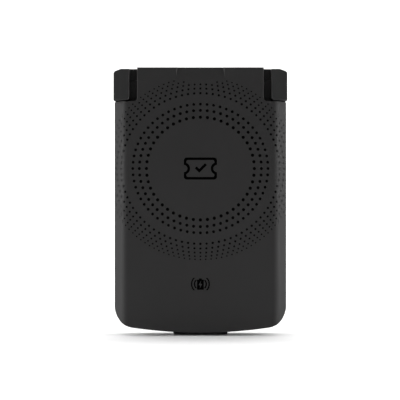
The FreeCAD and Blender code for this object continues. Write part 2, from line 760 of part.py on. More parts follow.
def make_scoop():
    """The pull scoop: a roll-off across the top edge between two walls at 45 degrees."""
    body = new_body("tool_scoop")
    floor = f"({OUTER_FACE} + scoop_drop)"
    profile = new_sketch(body, "scoop_profile", plane="YZ_Plane", level="-pack_width / 2")
    radius = "((scoop_height^2 + scoop_drop^2) / (2 * scoop_drop))"
    start = FreeCAD.Vector(value(OUTER_FACE), value(f"{TOP} - scoop_height"), 0)
    end = FreeCAD.Vector(value(floor), value(TOP), 0)
    centre = FreeCAD.Vector(value(f"{OUTER_FACE} + {radius}"), start.y, 0)
    angles = [math.atan2(p.y - centre.y, p.x - centre.x) for p in (end, start)]
    profile.addGeometry(Part.ArcOfCircle(Part.Circle(centre, Z_DIRECTION, value(radius)), *angles), False)
    corners = [
        (OUTER_FACE, f"{TOP} - scoop_height"),
        (f"{OUTER_FACE} - 1", f"{TOP} - scoop_height"),
        (f"{OUTER_FACE} - 1", f"{TOP} + 1"),
        (floor, f"{TOP} + 1"),
        (floor, TOP),
    ]
    points = [FreeCAD.Vector(value(y), value(z), 0) for y, z in corners]
    for here, there in zip(points, points[1:]):
        profile.addGeometry(Part.LineSegment(here, there), False)
    for edge in range(1, 4):
        profile.addConstraint(Sketcher.Constraint("Coincident", edge, 2, edge + 1, 1))
    profile.addConstraint(Sketcher.Constraint("Coincident", 0, 2, 1, 1))
    profile.addConstraint(Sketcher.Constraint("Coincident", 4, 2, 0, 1))
    for edge, place in enumerate(corners[:-1], start=1):
        pin_point(profile, edge, 1, place)
    pin_point(profile, 4, 2, corners[-1])
    index = profile.addConstraint(Sketcher.Constraint("Radius", 0, value(radius)))
    profile.setExpression(f"Constraints[{index}]", bound(radius))
    pad(body, profile, "scoop_roll_off", "pack_width")
    sides = new_body("tool_scoop_sides")
    section = new_sketch(sides, "scoop_section", plane="XY_Plane", level=f"{TOP} - scoop_height - 2")
    half = [
        ("scoop_width / 2 + scoop_drop + 1", f"{OUTER_FACE} - 1"),
        ("scoop_width / 2 - 1", f"{floor} + 1"),
    ]
    add_polygon(section, half + [(f"-({x})", y) for x, y in reversed(half)])
    pad(sides, section, "scoop_sides", "scoop_height + 4")
    combine(body, "scoop_trim", "Common", [sides])
    return body


def make_cover():
    """The outer cover: a bevelled shell with notches, a scoop, dimples, bosses and ribs."""
    cover = cover_form("cover_solid", "0", "edge_round")
    core = cover_form("tool_cover_core", "cover_wall")
    flange_seat = plan_prism("tool_flange_seat", "cover_wall", f"{FLANGE_TOP} - shell_gap", RIM)
    combine(cover, "cover_hollow", "Cut", [core, flange_seat])
    root = f"{COVER_INSIDE} - cover_wall / 4"
    slab(cover, "bosses", root, "-boss_end", circles_at(SCREW_PLACES, "boss_width / 2"))
    rib_centre = [("0", "ring_centre_z")]

    def draw_rib(sketch):
        add_circle(sketch, *rib_centre[0], "coil_outer + coil_fit + coil_rib")
        add_circle(sketch, *rib_centre[0], "coil_outer + coil_fit")

    slab(cover, "coil_rib", root, f"{COVER_INSIDE} + coil_rib_height", draw_rib)
    rib_low = "ring_centre_z + coil_outer / 2"
    rib_high = "ring_centre_z + coil_outer + coil_fit + coil_rib + 1"
    opening = rectangle_of("-rib_opening / 2", rib_low, "rib_opening / 2", rib_high)
    cut_from_inside(cover, "rib_opening", COVER_INSIDE, f"{COVER_INSIDE} + coil_rib_height", opening)
    rest = pair_of("board_width / 2 - 1.6", "board_low_z", "board_width / 2", BOARD_HIGH_Z)
    slab(cover, "board_rests", root, f"{COVER_INSIDE} + receiver_gap", rest)
    insert_end = "-boss_end - insert_length"
    cut_from_inside(
        cover,
        "insert_bores",
        insert_end,
        "-boss_end",
        circles_at(SCREW_PLACES, "insert_width / 2"),
    )
    bore_end = "-boss_end - insert_length - 1.6"
    bores = circles_at(SCREW_PLACES, "screw_shank / 2 + screw_slack")
    cut_from_inside(cover, "screw_bores", bore_end, insert_end, bores)
    ear_cut = pair_of(
        f"{NOTCH_X} - cover_wall - shell_gap",
        f"{NOTCH_Z} - cover_wall - shell_gap",
        f"{HALF_WIDTH} + 1",
        f"{TOP} + 1",
    )
    cut_from_inside(cover, "ear_steps", f"{FLANGE_TOP} - latch_play - shell_gap", RIM, ear_cut)
    toe_cut = rectangle_of(
        "-toe_width / 2 - shell_gap",
        "-pack_height / 2 - toe_length",
        "toe_width / 2 + shell_gap",
        "-pack_height / 2 + cover_wall * 2",
    )
    cut_from_inside(cover, "toe_step", f"{FLANGE_TOP} - shell_gap", RIM, toe_cut)
    combine(cover, "scoop", "Cut", [make_scoop()])

    size = "charge_symbol_size"
    symbols = [make_waves("tool_outer_waves", f"{size} * 0.5", f"{size} * 0.33")]
    symbols.append(make_waves("tool_inner_waves", f"{size} * 0.345", f"{size} * 0.22"))
    symbols.append(make_battery_symbol())
    symbols += make_ticket_symbol()
    marks = group_of("tool_marks", symbols + [make_dimples()])
    skin_limit = cover_form("tool_under_skin", "dimple_depth")
    sunk = doc.addObject("Part::Cut", "tool_sunk_marks")
    sunk.Base = marks
    sunk.Tool = skin_limit
    made = doc.addObject("Part::Cut", "outer_cover")
    made.Label = "outer_cover"
    made.Base = cover
    made.Tool = sunk
    doc.recompute()
    return made


def make_bay_form():
    """The hollow for the cell, with its corners already round where the block's are."""
    form = new_body("tool_cell_bay")
    inset = "block_inset + tray_wall"
    corners = []

    def draw(sketch):
        corners.extend(draw_plan(sketch, inset, "cell_bay_top"))

    slab(form, "bay_hollow", f"{FLANGE_TOP} - 1", TRAY_FLOOR, draw)
    fillet(form, "bay_low_corners", f"corner_radius - ({inset})", corners_at(corners[:2]))
    fillet(form, "bay_top_corners", "cell_round / 2", corners_at(corners[2:]))
    return form


def make_tray():
    """The inner tray: rim plate, block with the cell's bay, latch channels, pillars and hooks."""
    tray = new_body("inner_tray")
    inset = "cover_wall + shell_gap"
    flange_corners = []

    def draw_flange(sketch):
        flange_corners.extend(draw_plan(sketch, inset, notched=True))

    slab(tray, "flange", FLANGE_TOP, RIM, draw_flange)
    fillet(tray, "flange_corners", f"corner_radius - ({inset})", corners_at(flange_corners[:2]))
    ear_root = pair_of(
        f"{NOTCH_X} - cover_wall * 2",
        f"{NOTCH_Z} - cover_wall * 2",
        f"{HALF_WIDTH} - cover_wall * 2",
        f"{TOP} - cover_wall * 2",
    )
    slab(tray, "ear_roots", FLANGE_TOP, RIM, ear_root)
    ear = pair_of(
        f"{NOTCH_X} - cover_wall",
        f"{NOTCH_Z} - cover_wall",
        f"{HALF_WIDTH} - ear_side_inset",
        TOP,
    )
    slab(tray, "ears", FLANGE_TOP, RIM, ear)
    ear_corners = [(f"{sign}({HALF_WIDTH} - ear_side_inset)", TOP) for sign in ("", "-")]
    fillet(tray, "ear_corners", "latch_shoulder", corners_at(ear_corners))
    toe_end = "-pack_height / 2 - toe_length"
    slab(
        tray,
        "toe",
        FLANGE_TOP,
        RIM,
        rectangle_of("-toe_width / 2", toe_end, "toe_width / 2", "low_screw_z"),
    )
    toe_corners = corners_at([("toe_width / 2", toe_end), ("-toe_width / 2", toe_end)])
    fillet(tray, "toe_corners", "toe_length / 2", toe_corners)
    block_corners = []

    def draw_block(sketch):
        block_corners.extend(draw_plan(sketch, "block_inset", BLOCK_TOP))

    slab(tray, "block", RIM, "0", draw_block)
    fillet(tray, "block_low_corners", "corner_radius - block_inset", corners_at(block_corners[:2]))
    fillet(tray, "block_top_corners", "block_round", corners_at(block_corners[2:]))
    tab_end = "-pack_height / 2 + block_inset - tab_length"
    tabs = pair_of("tab_x - tab_width / 2", tab_end, "tab_x + tab_width / 2", "low_screw_z")
    slab(tray, "tabs", "-hook_sunk - tab_thickness", "-hook_sunk", tabs)

    combine(tray, "cell_bay", "Cut", [make_bay_form()])
    partition_high = "cell_bay_top + tray_wall"
    bay = rectangle_of("-corner_block_x", partition_high, "corner_block_x", f"{BLOCK_TOP} - tray_wall")
    cut_from_outside(tray, "board_bay", FLANGE_TOP, TRAY_FLOOR, bay)
    drop = rectangle_of("-corner_block_x", "cell_bay_top - 1", "corner_block_x", f"{partition_high} + 1")
    cut_from_outside(tray, "partition_drop", FLANGE_TOP, f"{FLANGE_TOP} + partition_drop", drop)
    ledge = pair_of(
        "board_width / 2 - board_ledge",
        partition_high,
        "board_width / 2 + board_gap",
        f"{BLOCK_TOP} - tray_wall",
    )
    slab(tray, "board_ledges", RIM, TRAY_FLOOR, ledge)
    slab(tray, "pillars", "-boss_end", TRAY_FLOOR, circles_at(SCREW_PLACES, "pillar_width / 2"))
    boss_room = circles_at(SCREW_PLACES, "boss_width / 2 + shell_gap * 2")
    cut_from_outside(tray, "boss_room", FLANGE_TOP, "-boss_end", boss_room)
    heads = circles_at(SCREW_PLACES, "screw_head / 2 + screw_slack")
    cut_from_inside(tray, "head_bores", "-screw_sunk - screw_head_height", "0", heads)
    shanks = circles_at(SCREW_PLACES, "screw_shank / 2 + screw_slack")
    cut_from_inside(tray, "shank_bores", "-boss_end", "-screw_sunk - screw_head_height", shanks)
    window = rectangle_of(
        "-contact_width / 2 - window_slack",
        "contact_z - contact_height / 2 - window_slack",
        "contact_width / 2 + window_slack",
        "contact_z + contact_height / 2 + window_slack",
    )
    cut_from_inside(tray, "contact_window", TRAY_FLOOR, "0", window)

    slide = pair_of(
        CHANNEL_INNER,
        f"{SLIDE_LOW} - latch_play",
        f"{BLOCK_SIDE} + 1",
        f"{SLIDE_HIGH} + latch_play",
    )
    cut_from_inside(tray, "latch_channels", RIM, "0", slide)
    slot = pair_of(
        f"{NECK_INNER} - latch_travel - latch_play",
        f"{NECK_MIDDLE_Z} - neck_height / 2 - latch_play",
        f"{NECK_INNER} + neck_width + latch_play",
        f"{NECK_MIDDLE_Z} + neck_height / 2 + latch_play",
    )
    cut_from_inside(tray, "neck_slots", FLANGE_TOP, RIM, slot)
    shutter_low, shutter_high = shutter_heights("latch_play")
    shutter = pair_of(
        f"{NECK_INNER} - shutter_reach - latch_travel - latch_play",
        shutter_low,
        f"{NECK_INNER} + neck_width + latch_play",
        shutter_high,
    )
    shutter_floor = f"{FLANGE_TOP} + shutter_thickness + shell_gap"
    cut_from_outside(tray, "shutter_recess", FLANGE_TOP, shutter_floor, shutter)
    keeper = pair_of(*keeper_outline("keeper_slack"))
    cut_from_inside(tray, "keeper_recess", "-keeper_thickness", "0", keeper)
    fillet(tray, "keeper_recess_corners", "keeper_round + keeper_slack", keeper_corners("keeper_slack"))
    threads = circles_at(keeper_screw_places(), "keeper_screw_shank / 2")
    cut_from_inside(
        tray,
        "keeper_screw_bores",
        "-keeper_thickness - keeper_screw_length",
        "-keeper_thickness",
        threads,
    )

    combine(tray, "seal_groove", "Cut", [seal_strip("tool_seal_groove", "seal_slack", RIM)])
    label = label_outline("seal_slack")
    cut_from_inside(tray, "label_recess", "-label_sunk", "0", rectangle_of(*label))
    label_corners = [(side, edge) for side in (label[0], label[2]) for edge in (label[1], label[3])]
    fillet(tray, "label_recess_corners", "label_round + seal_slack", corners_at(label_corners))
    return tray


def seal_strip(name, slack, high_y):
    """A closed strip that follows the plan outline, from the groove's floor to a level; slack widens it."""
    strip = new_body(name)
    outer = []
    inner = []

    def draw(sketch):
        outer.extend(draw_plan(sketch, f"seal_inset - {slack}"))
        inner.extend(draw_plan(sketch, f"seal_inset + seal_width + {slack}"))

    slab(strip, f"{name}_strip", f"{RIM} - seal_sunk", high_y, draw)
    inner_low = f"corner_radius - seal_inset - seal_width - {slack}"
    fillet(strip, f"{name}_inner_low", inner_low, corners_at(inner[:2]))
    fillet(strip, f"{name}_inner_top", f"seal_round - seal_width - {slack}", corners_at(inner[2:]))
    fillet(strip, f"{name}_outer_low", f"corner_radius - seal_inset + {slack}", corners_at(outer[:2]))
    fillet(strip, f"{name}_outer_top", f"seal_round + {slack}", corners_at(outer[2:]))
    return strip


def shutter_heights(slack):
    """Low and high of a latch's shutter plate, or of its recess with slack added."""
    half = f"(neck_height / 2 + shutter_margin + {slack})"
    return f"{NECK_MIDDLE_Z} - {half}", f"{NECK_MIDDLE_Z} + {half}"


def keeper_outline(slack):
    """Inner side, low, outer side and high of a keeper plate, or of its recess with slack added."""
    return (
        f"corner_block_x + keeper_slack * 2 - {slack}",
        f"{SLIDE_LOW} - latch_play - keeper_margin - {slack}",
        f"{BLOCK_SIDE} - keeper_margin + {slack}",
        f"{SLIDE_HIGH} + latch_play + keeper_margin + {slack}",
    )


def keeper_corners(slack):
    """A test for the corner edges of the keeper's outline on both sides."""
    inner, low, outer, high = keeper_outline(slack)
    places = []
    for side in (inner, outer):
        places += [(side, low), (side, high), (f"-({side})", low), (f"-({side})", high)]
    targets = corners_at(places)
    return lambda edge: targets(edge) and middle_of(edge).y > value("-keeper_thickness") - 0.01


def keeper_screw_places():
    """Two screws on each side."""
    heights = [f"({NECK_MIDDLE_Z} + keeper_screw_spread)", f"({NECK_MIDDLE_Z} - keeper_screw_spread)"]
    return [(f"{sign}{KEEPER_SCREW_X}", height) for sign in ("", "-") for height in heights]


def label_outline(slack):
    """Left, low, right and high of the label, or of its recess with slack added."""
    half_width = f"label_width / 2 + {slack}"
    half_height = f"label_height / 2 + {slack}"
    return f"-({half_width})", f"label_z - ({half_height})", half_width, f"label_z + {half_height}"


def make_latch():
    """The right latch: thumb pad outside, neck through the rim plate, hook and spring pin inside."""
    latch = new_body("latch_right")
    pad_low = f"({NOTCH_Z} + latch_gap_below)"
    pad_high = "(pack_height / 2 - latch_top_inset)"
    under_pad = f"{FLANGE_TOP} - latch_play"
    corner = [
        (PAD_INNER, pad_low),
        (HALF_WIDTH, pad_low),
        (HALF_WIDTH, f"{pad_high} - latch_shoulder_drop"),
        (f"{HALF_WIDTH} - latch_shoulder", pad_high),
        (PAD_INNER, pad_high),
    ]
    slab(latch, "thumb_pad", OUTER_FACE, under_pad, lambda sketch: add_polygon(sketch, corner))
    fillet(latch, "pad_corner", "latch_round", corners_at([corner[0]]))
    fillet(latch, "pad_shoulder", "latch_shoulder_drop", corners_at(corner[2:4]))
    fillet(latch, "pad_edges", "latch_edge", lies_at_level(OUTER_FACE))
    middle = "(pack_height / 2 - (notch_height - latch_gap_below + latch_top_inset) / 2)"

    def draw_grips(sketch):
        for number in range(int(value("grip_count"))):
            place = f"{middle} + ({number} - (grip_count - 1) / 2) * grip_pitch"
            sides = (f"{HALF_WIDTH} - grip_depth", f"{HALF_WIDTH} + 1")
            add_rectangle(
                sketch,
                sides[0],
                f"{place} - grip_width / 2",
                sides[1],
                f"{place} + grip_width / 2",
            )

    cut_from_inside(latch, "grips", f"{OUTER_FACE} + latch_edge * 3", under_pad, draw_grips)
    hook_outer = f"{RIM} + latch_play"
    neck = (
        NECK_INNER,
        f"{NECK_MIDDLE_Z} - neck_height / 2",
        f"{NECK_INNER} + neck_width",
        f"{NECK_MIDDLE_Z} + neck_height / 2",
    )
    slab(latch, "neck", under_pad, hook_outer, rectangle_of(*neck))
    shutter_low, shutter_high = shutter_heights("0")
    shutter = rectangle_of(f"{NECK_INNER} - shutter_reach", shutter_low, f"{NECK_INNER} + 1", shutter_high)
    slab(latch, "shutter", FLANGE_TOP, f"{FLANGE_TOP} + shutter_thickness", shutter)
    slide = rectangle_of(NECK_INNER, SLIDE_LOW, BLOCK_SIDE, SLIDE_HIGH)
    slab(latch, "slide", hook_outer, "-keeper_thickness - latch_play", slide)
    nose_x = f"({NECK_INNER} + neck_width + hook_reach)"
    nose = rectangle_of(f"{BLOCK_SIDE} - 1", SLIDE_LOW, nose_x, SLIDE_HIGH)
    slab(latch, "nose", "-hook_sunk - hook_thickness", "-hook_sunk", nose)

    def on_nose_tip(edge):
        point = middle_of(edge)
        at_tip = abs(point.x - value(nose_x)) < 0.01 and abs(point.y + value("hook_sunk")) < 0.01
        return at_tip and runs_along(edge, Z_DIRECTION)

    nose_feature = latch.Tip
    ramp = latch.newObject("PartDesign::Chamfer", "nose_ramp")
    ramp.Base = (nose_feature, edges_where(nose_feature.Shape, on_nose_tip))
    ramp.setExpression("Size", bound("hook_thickness * 0.7"))
    doc.recompute()
    guide = latch.newObject("PartDesign::AdditiveCylinder", "spring_guide")
    guide.setExpression("Radius", bound("guide_width / 2"))
    guide.setExpression("Height", bound("guide_length"))
    guide.Placement.Rotation = FreeCAD.Rotation(Z_DIRECTION, X_DIRECTION)
    for axis, place in zip("xyz", (f"{NECK_INNER} - guide_length", SLIDE_MIDDLE_Y, NECK_MIDDLE_Z)):
        guide.setExpression(f"Placement.Base.{axis}", bound(place))
    doc.recompute()
    return latch


def make_spring():
    """The right latch's spring, wound about the guide pin's axis."""
    spring = new_body("latch_spring_right")
    section = new_sketch(spring, "wire_section", plane="XY_Plane", level=NECK_MIDDLE_Z)
    wire_y = f"{SLIDE_MIDDLE_Y} - spring_outside / 2 + spring_wire / 2"
    add_circle(section, f"{CHANNEL_INNER} + spring_wire / 2", wire_y, "spring_wire / 2")
    axis = new_sketch(spring, "coil_axis", plane="XY_Plane", level=NECK_MIDDLE_Z)
    start = FreeCAD.Vector(value(CHANNEL_INNER), value(SLIDE_MIDDLE_Y), 0)
    end = FreeCAD.Vector(value(NECK_INNER), value(SLIDE_MIDDLE_Y), 0)
    axis.addGeometry(Part.LineSegment(start, end), False)
    pin_point(axis, 0, 1, (CHANNEL_INNER, SLIDE_MIDDLE_Y))
    pin_point(axis, 0, 2, (NECK_INNER, SLIDE_MIDDLE_Y))
    coil = spring.newObject("PartDesign::AdditiveHelix", "coil")
    coil.Profile = section
    coil.ReferenceAxis = (axis, ["Edge1"])
    coil.Mode = 0
    coil.setExpression("Height", bound("channel_length - spring_wire"))
    coil.setExpression("Pitch", bound("(channel_length - spring_wire) / spring_turns"))
    doc.recompute()
    return spring


def make_keeper():
    """The right keeper plate, with countersunk holes for its two screws."""
    plate = new_body("keeper_blank")
    slab(plate, "plate", "-keeper_thickness", "0", rectangle_of(*keeper_outline("0")))
    fillet(plate, "plate_corners", "keeper_round", keeper_corners("0"))
    holes = []
    for number, (x, z) in enumerate(keeper_screw_places()[:2], start=1):
        sink = doc.addObject("Part::Cone", f"tool_countersink_{number}")
        sink.setExpression("Radius1", bound("keeper_screw_shank / 2 + keeper_slack / 2"))
        sink.setExpression("Radius2", bound("keeper_screw_head / 2 + keeper_slack / 2"))
        sink.setExpression("Height", bound("keeper_thickness"))
        stand(sink, (x, "-keeper_thickness", z), Y_DIRECTION)
        holes.append(sink)
    return hollowed("latch_keeper_right", plate, group_of("tool_countersinks", holes))


def stand(made, start, direction):
    """Puts a primitive at a place, its own Z along the direction."""
    made.Placement.Rotation = FreeCAD.Rotation(Z_DIRECTION, direction)
    for axis, place in zip("xyz", start):
        made.setExpression(f"Placement.Base.{axis}", bound(place))


def fused(name, members):
    """Several overlapping or touching solids made one."""
    made = doc.addObject("Part::MultiFuse", name)
    made.Shapes = members
    doc.recompute()
    return made


def hollowed(name, base, tool):
    made = doc.addObject("Part::Cut", name)
    made.Base = base
    made.Tool = tool
    doc.recompute()
    return made


def make_keeper_screws():
    """Four small countersunk screws."""
    screws = []
    for number, (x, z) in enumerate(keeper_screw_places(), start=1):
        head = doc.addObject("Part::Cone", f"keeper_screw_head_{number}")
        head.setExpression("Radius1", bound("keeper_screw_shank / 2"))
        head.setExpression("Radius2", bound("keeper_screw_head / 2"))
        head.setExpression("Height", bound("keeper_thickness - keeper_slack / 2"))
        stand(head, (x, "-keeper_thickness", z), Y_DIRECTION)
        start = (x, "-keeper_thickness - keeper_screw_length", z)
        length = "keeper_screw_length"
        shank = rod(f"keeper_screw_shank_{number}", "keeper_screw_shank / 2", start, length, Y_DIRECTION)
        screws.append(fused(f"keeper_screw_{number}", [head, shank]))
    return group_of("keeper_screws", screws)


def make_tray_screws():
    """Five pan-head screws with a six-sided recess."""
    screws = []
    seat = "-screw_sunk - screw_head_height"
    for number, (x, z) in enumerate(SCREW_PLACES, start=1):
        head = rod(f"screw_head_{number}", "screw_head / 2", (x, seat, z), "screw_head_height", Y_DIRECTION)
        start = (x, f"{seat} - screw_length", z)
        shank = rod(f"screw_shank_{number}", "screw_shank / 2", start, "screw_length", Y_DIRECTION)
        drive = doc.addObject("Part::Prism", f"tool_screw_drive_{number}")
        drive.Polygon = 6
        drive.setExpression("Circumradius", bound("screw_shank / 2"))
        drive.setExpression("Height", bound("screw_head_height"))
        stand(drive, (x, f"{seat} + screw_head_height / 2", z), Y_DIRECTION)
        whole = fused(f"screw_blank_{number}", [head, shank])
        screws.append(hollowed(f"tray_screw_{number}", whole, drive))
    return group_of("tray_screws", screws)


def make_inserts():
    """Five brass inserts in the cover's bosses."""
    inserts = []
    for number, (x, z) in enumerate(SCREW_PLACES, start=1):
        start = (x, "-boss_end - insert_length", z)
        blank = rod(f"insert_blank_{number}", "insert_width / 2", start, "insert_length", Y_DIRECTION)
        bore = rod(f"tool_insert_bore_{number}", "screw_shank / 2", start, "insert_length", Y_DIRECTION)
        inserts.append(hollowed(f"insert_{number}", blank, bore))
    return group_of("screw_inserts", inserts)


def make_cell():
    """The pouch cell with its folded upper seal."""
    cell = new_body("cell")
    sides = ("-cell_width / 2", "cell_low_z", "cell_width / 2", "cell_top")
    slab(cell, "pouch", CELL_OUTER, CELL_INNER, rectangle_of(*sides))

    def on_long_side(edge):
        return runs_along(edge, Z_DIRECTION) and abs(abs(middle_of(edge).x) - value("cell_width / 2")) < 0.01

    fillet(cell, "long_edges", "cell_round", on_long_side)
    half = "cell_width / 2 - cell_round"
    seal = rectangle_of(f"-({half})", "cell_top - 1", half, "cell_top + terrace_length")
    slab(cell, "folded_seal", BOARD_OUTER, f"{BOARD_OUTER} + terrace_thickness", seal)
    return cell


def flat_plate(name, sides, low_y, high_y):
    """A plain plate with the given left, low, right and high."""
    plate = new_body(name)
    slab(plate, "plate", low_y, high_y, rectangle_of(*sides))
    return plate


def cell_face(margin):
    """The cell's outline moved inwards."""
    return (
        f"-(cell_width / 2 - {margin})",
        f"cell_low_z + {margin}",
        f"cell_width / 2 - {margin}",
        f"cell_top - {margin}",
    )


def make_cell_pads():
    """Foam on both faces of the cell and the insulating sheet over the outer one."""
    foam = cell_face("foam_margin")
    flat_plate("cell_foam_inner", foam, CELL_INNER, TRAY_FLOOR)
    flat_plate("cell_foam_outer", foam, SHEET_INNER, CELL_OUTER)
    flat_plate("insulating_sheet", cell_face("sheet_margin"), SHEET_OUTER, SHEET_INNER)


def make_cell_wiring():
    """Nickel strips, thermal cut-off and thermistor between the cell and its board."""
    strips = []
    end_z = "board_low_z + board_height / 4"
    strip_outer = f"{BOARD_OUTER} - strip_thickness"
    for side, sign in (("left", "-"), ("right", "")):
        low = (f"{sign}strip_x - strip_width / 2", strip_outer, "cell_top")
        high = (f"{sign}strip_x + strip_width / 2", BOARD_OUTER, end_z)
        strips.append(box(f"strip_{side}", low, high))
    group_of("cell_tabs", strips)
    middle_z = "cell_top + terrace_length / 2"
    low = ("strip_x - cutoff_width / 2", f"{strip_outer} - cutoff_depth", f"{middle_z} - cutoff_height / 2")
    high = ("strip_x + cutoff_width / 2", strip_outer, f"{middle_z} + cutoff_height / 2")
    box("thermal_cutoff", low, high)
    bead_y = f"{BOARD_OUTER} - 0.5"
    lead_y = f"{BOARD_OUTER} - 0.15"
    parts = [rod("thermistor_bead", "0.5", ("0", bead_y, "cell_top + 0.2"), "2.2", Z_DIRECTION)]
    for side, x in (("left", "-0.3"), ("right", "0.3")):
        start = (x, lead_y, "cell_top + 2")
        length = "board_low_z + link_rise / 2 - cell_top - 2"
        parts.append(rod(f"thermistor_lead_{side}", "0.15", start, length, Z_DIRECTION))
    whole = fused("thermistor_solid", parts)
    whole.Label = "thermistor"


def board_sides():
    return "-board_width / 2", "board_low_z", "board_width / 2", BOARD_HIGH_Z


# Electronic parts: sideways place, height above the board's lower edge, width, height, and how far
# they stand out
PROTECTION_PARTS = [
    (-10.4, 5.9, 3.0, 3.0, 1.0),
    (-6.4, 5.9, 3.0, 3.0, 1.0),
    (-2.8, 6.4, 1.6, 1.4, 0.8),
    (0.0, 6.2, 1.8, 1.9, 0.9),
    (3.0, 6.4, 1.0, 0.5, 0.5),
    (3.0, 5.3, 1.0, 0.5, 0.5),
    (6.6, 6.1, 3.2, 1.6, 0.7),
    (10.8, 6.1, 2.0, 1.2, 1.1),
    (-7.2, 1.3, 1.0, 0.5, 0.5),
    (6.2, 1.3, 1.6, 0.8, 0.6),
]
RECEIVER_PARTS = [
    (-2.2, 5.6, 3.6, 3.6, 0.9),
    (-9.6, 5.0, 4.4, 4.4, 1.1),
    (2.4, 6.4, 1.6, 0.8, 0.8),
    (2.4, 5.0, 1.6, 0.8, 0.8),
    (5.4, 5.8, 2.0, 1.2, 1.0),
    (8.6, 5.8, 2.0, 1.2, 1.0),
    (11.6, 5.8, 1.0, 2.0, 0.8),
    (-6.0, 2.0, 1.0, 0.5, 0.5),
    (8.4, 2.0, 1.6, 0.8, 0.6),
    (11.0, 2.0, 1.0, 0.5, 0.5),
]


def make_board_parts(label, parts, face, direction):
    """Boxes on a board's face; direction is the side they stand out to, -1 or 1 along Y."""
    members = []
    for number, (x, z, width, height, depth) in enumerate(parts, start=1):
        top = f"{face} + ({direction * depth})"
        low_y, high_y = (top, face) if direction < 0 else (face, top)
        low = (f"{x - width / 2}", low_y, f"board_low_z + {z - height / 2}")
        high = (f"{x + width / 2}", high_y, f"board_low_z + {z + height / 2}")
        members.append(box(f"{label}_{number}", low, high))
    return group_of(label, members)


def make_boards():
    """Both boards, what is soldered to them and the header that joins them."""
    flat_plate("protection_board", board_sides(), BOARD_OUTER, BOARD_INNER)
    flat_plate("receiver_board", board_sides(), RECEIVER_OUTER, RECEIVER_INNER)
    make_board_parts("protection_board_parts", PROTECTION_PARTS, BOARD_OUTER, -1)
    make_board_parts("receiver_board_parts", RECEIVER_PARTS, RECEIVER_INNER, 1)
    low = ("-link_width / 2", RECEIVER_INNER, "link_z")
    high = ("link_width / 2", BOARD_OUTER, "link_z + link_height")
    box("board_link", low, high)


def make_contacts():
    """The contact block in the tray's window, with its sprung pads in a row."""
    block = new_body("contact_block")
    low_z = "contact_z - contact_height / 2"
    high_z = "contact_z + contact_height / 2"
    whole = rectangle_of("-contact_width / 2", low_z, "contact_width / 2", high_z)
    slab(block, "block", BOARD_INNER, CONTACT_FACE, whole)
    corners = [(x, z) for x in ("-contact_width / 2", "contact_width / 2") for z in (low_z, high_z)]
    fillet(block, "block_corners", "window_slack * 2", corners_at(corners))
    pad_places = []
    for number in range(int(value("contact_count"))):
        pad_places.append(f"({number} - (contact_count - 1) / 2) * contact_pitch")

    def draw(sketch):
        for x in pad_places:
            sides = (f"{x} - pad_width / 2", "contact_z - pad_height / 2", f"{x} + pad_width / 2")
            add_rectangle(sketch, *sides, "contact_z + pad_height / 2")

    pad_outer = f"{CONTACT_FACE} - pad_sunk - pad_thickness"
    cut_from_inside(block, "pad_seats", pad_outer, CONTACT_FACE, draw)
    pads = []
    for number, x in enumerate(pad_places, start=1):
        low = (f"{x} - pad_width / 2", pad_outer, "contact_z - pad_height / 2")
        high = (f"{x} + pad_width / 2", f"{CONTACT_FACE} - pad_sunk", "contact_z + pad_height / 2")
        pads.append(box(f"contact_pad_{number}", low, high))
    group_of("contact_pads", pads)


def make_charging():
    """The receiving coil, its two leads and the ferrite sheet behind it."""
    coil = new_body("receive_coil")

    def draw(sketch):
        add_circle(sketch, "0", "ring_centre_z", "coil_outer")
        add_circle(sketch, "0", "ring_centre_z", "coil_inner")

    slab(coil, "winding", COVER_INSIDE, COIL_INNER, draw)
    leads = []
    lead_y = f"{RECEIVER_OUTER} - lead_width / 2"
    start_z = "ring_centre_z + sqrt(coil_outer^2 - lead_x^2)"
    for side, sign in (("left", "-"), ("right", "")):
        length = f"board_low_z + lead_overlap - ({start_z})"
        start = (f"{sign}lead_x", lead_y, start_z)
        leads.append(rod(f"coil_lead_{side}", "lead_width / 2", start, length, Z_DIRECTION))
    group_of("coil_leads", leads)
    half = "ferrite_size / 2"
    sides = (f"-{half}", f"ring_centre_z - {half}", half, f"ring_centre_z + {half}")
    ferrite = flat_plate("ferrite_sheet", sides, COIL_INNER, f"{COIL_INNER} + ferrite_thickness")
    corners = [(x, z) for x in (sides[0], sides[2]) for z in (sides[1], sides[3])]
    fillet(ferrite, "ferrite_corners", "ferrite_round", corners_at(corners))


def make_label():
    """A blank rating label in its recess on the tray's flat face."""
    sides = label_outline("0")
    label = flat_plate("rating_label", sides, "-label_sunk", "-label_sunk + label_thickness")
    corners = [(x, z) for x in (sides[0], sides[2]) for z in (sides[1], sides[3])]
    fillet(label, "label_corners", "label_round", corners_at(corners))


NODES = [
    "outer_cover",
    "inner_tray",
    "bay_seal",
    "latch_left",
    "latch_right",
    "latch_spring_left",
    "latch_spring_right",
    "latch_keeper_left",
    "latch_keeper_right",
    "keeper_screws",
    "tray_screws",
    "screw_inserts",
    "cell",
    "cell_tabs",
    "cell_foam_inner",
    "cell_foam_outer",
    "insulating_sheet",
    "protection_board",
    "protection_board_parts",
    "thermistor",
    "thermal_cutoff",
    "contact_block",
    "contact_pads",
    "receiver_board",
    "receiver_board_parts",
    "board_link",
    "receive_coil",
    "coil_leads",
    "ferrite_sheet",
    "rating_label",
]


def find_node(label):
    """The one object with this label that isn't a feature of another."""
    found = [made for made in doc.Objects if made.Label == label]
    if len(found) != 1:
        raise RuntimeError(f"{label}: {len(found)} objects have this label")
    return found[0]


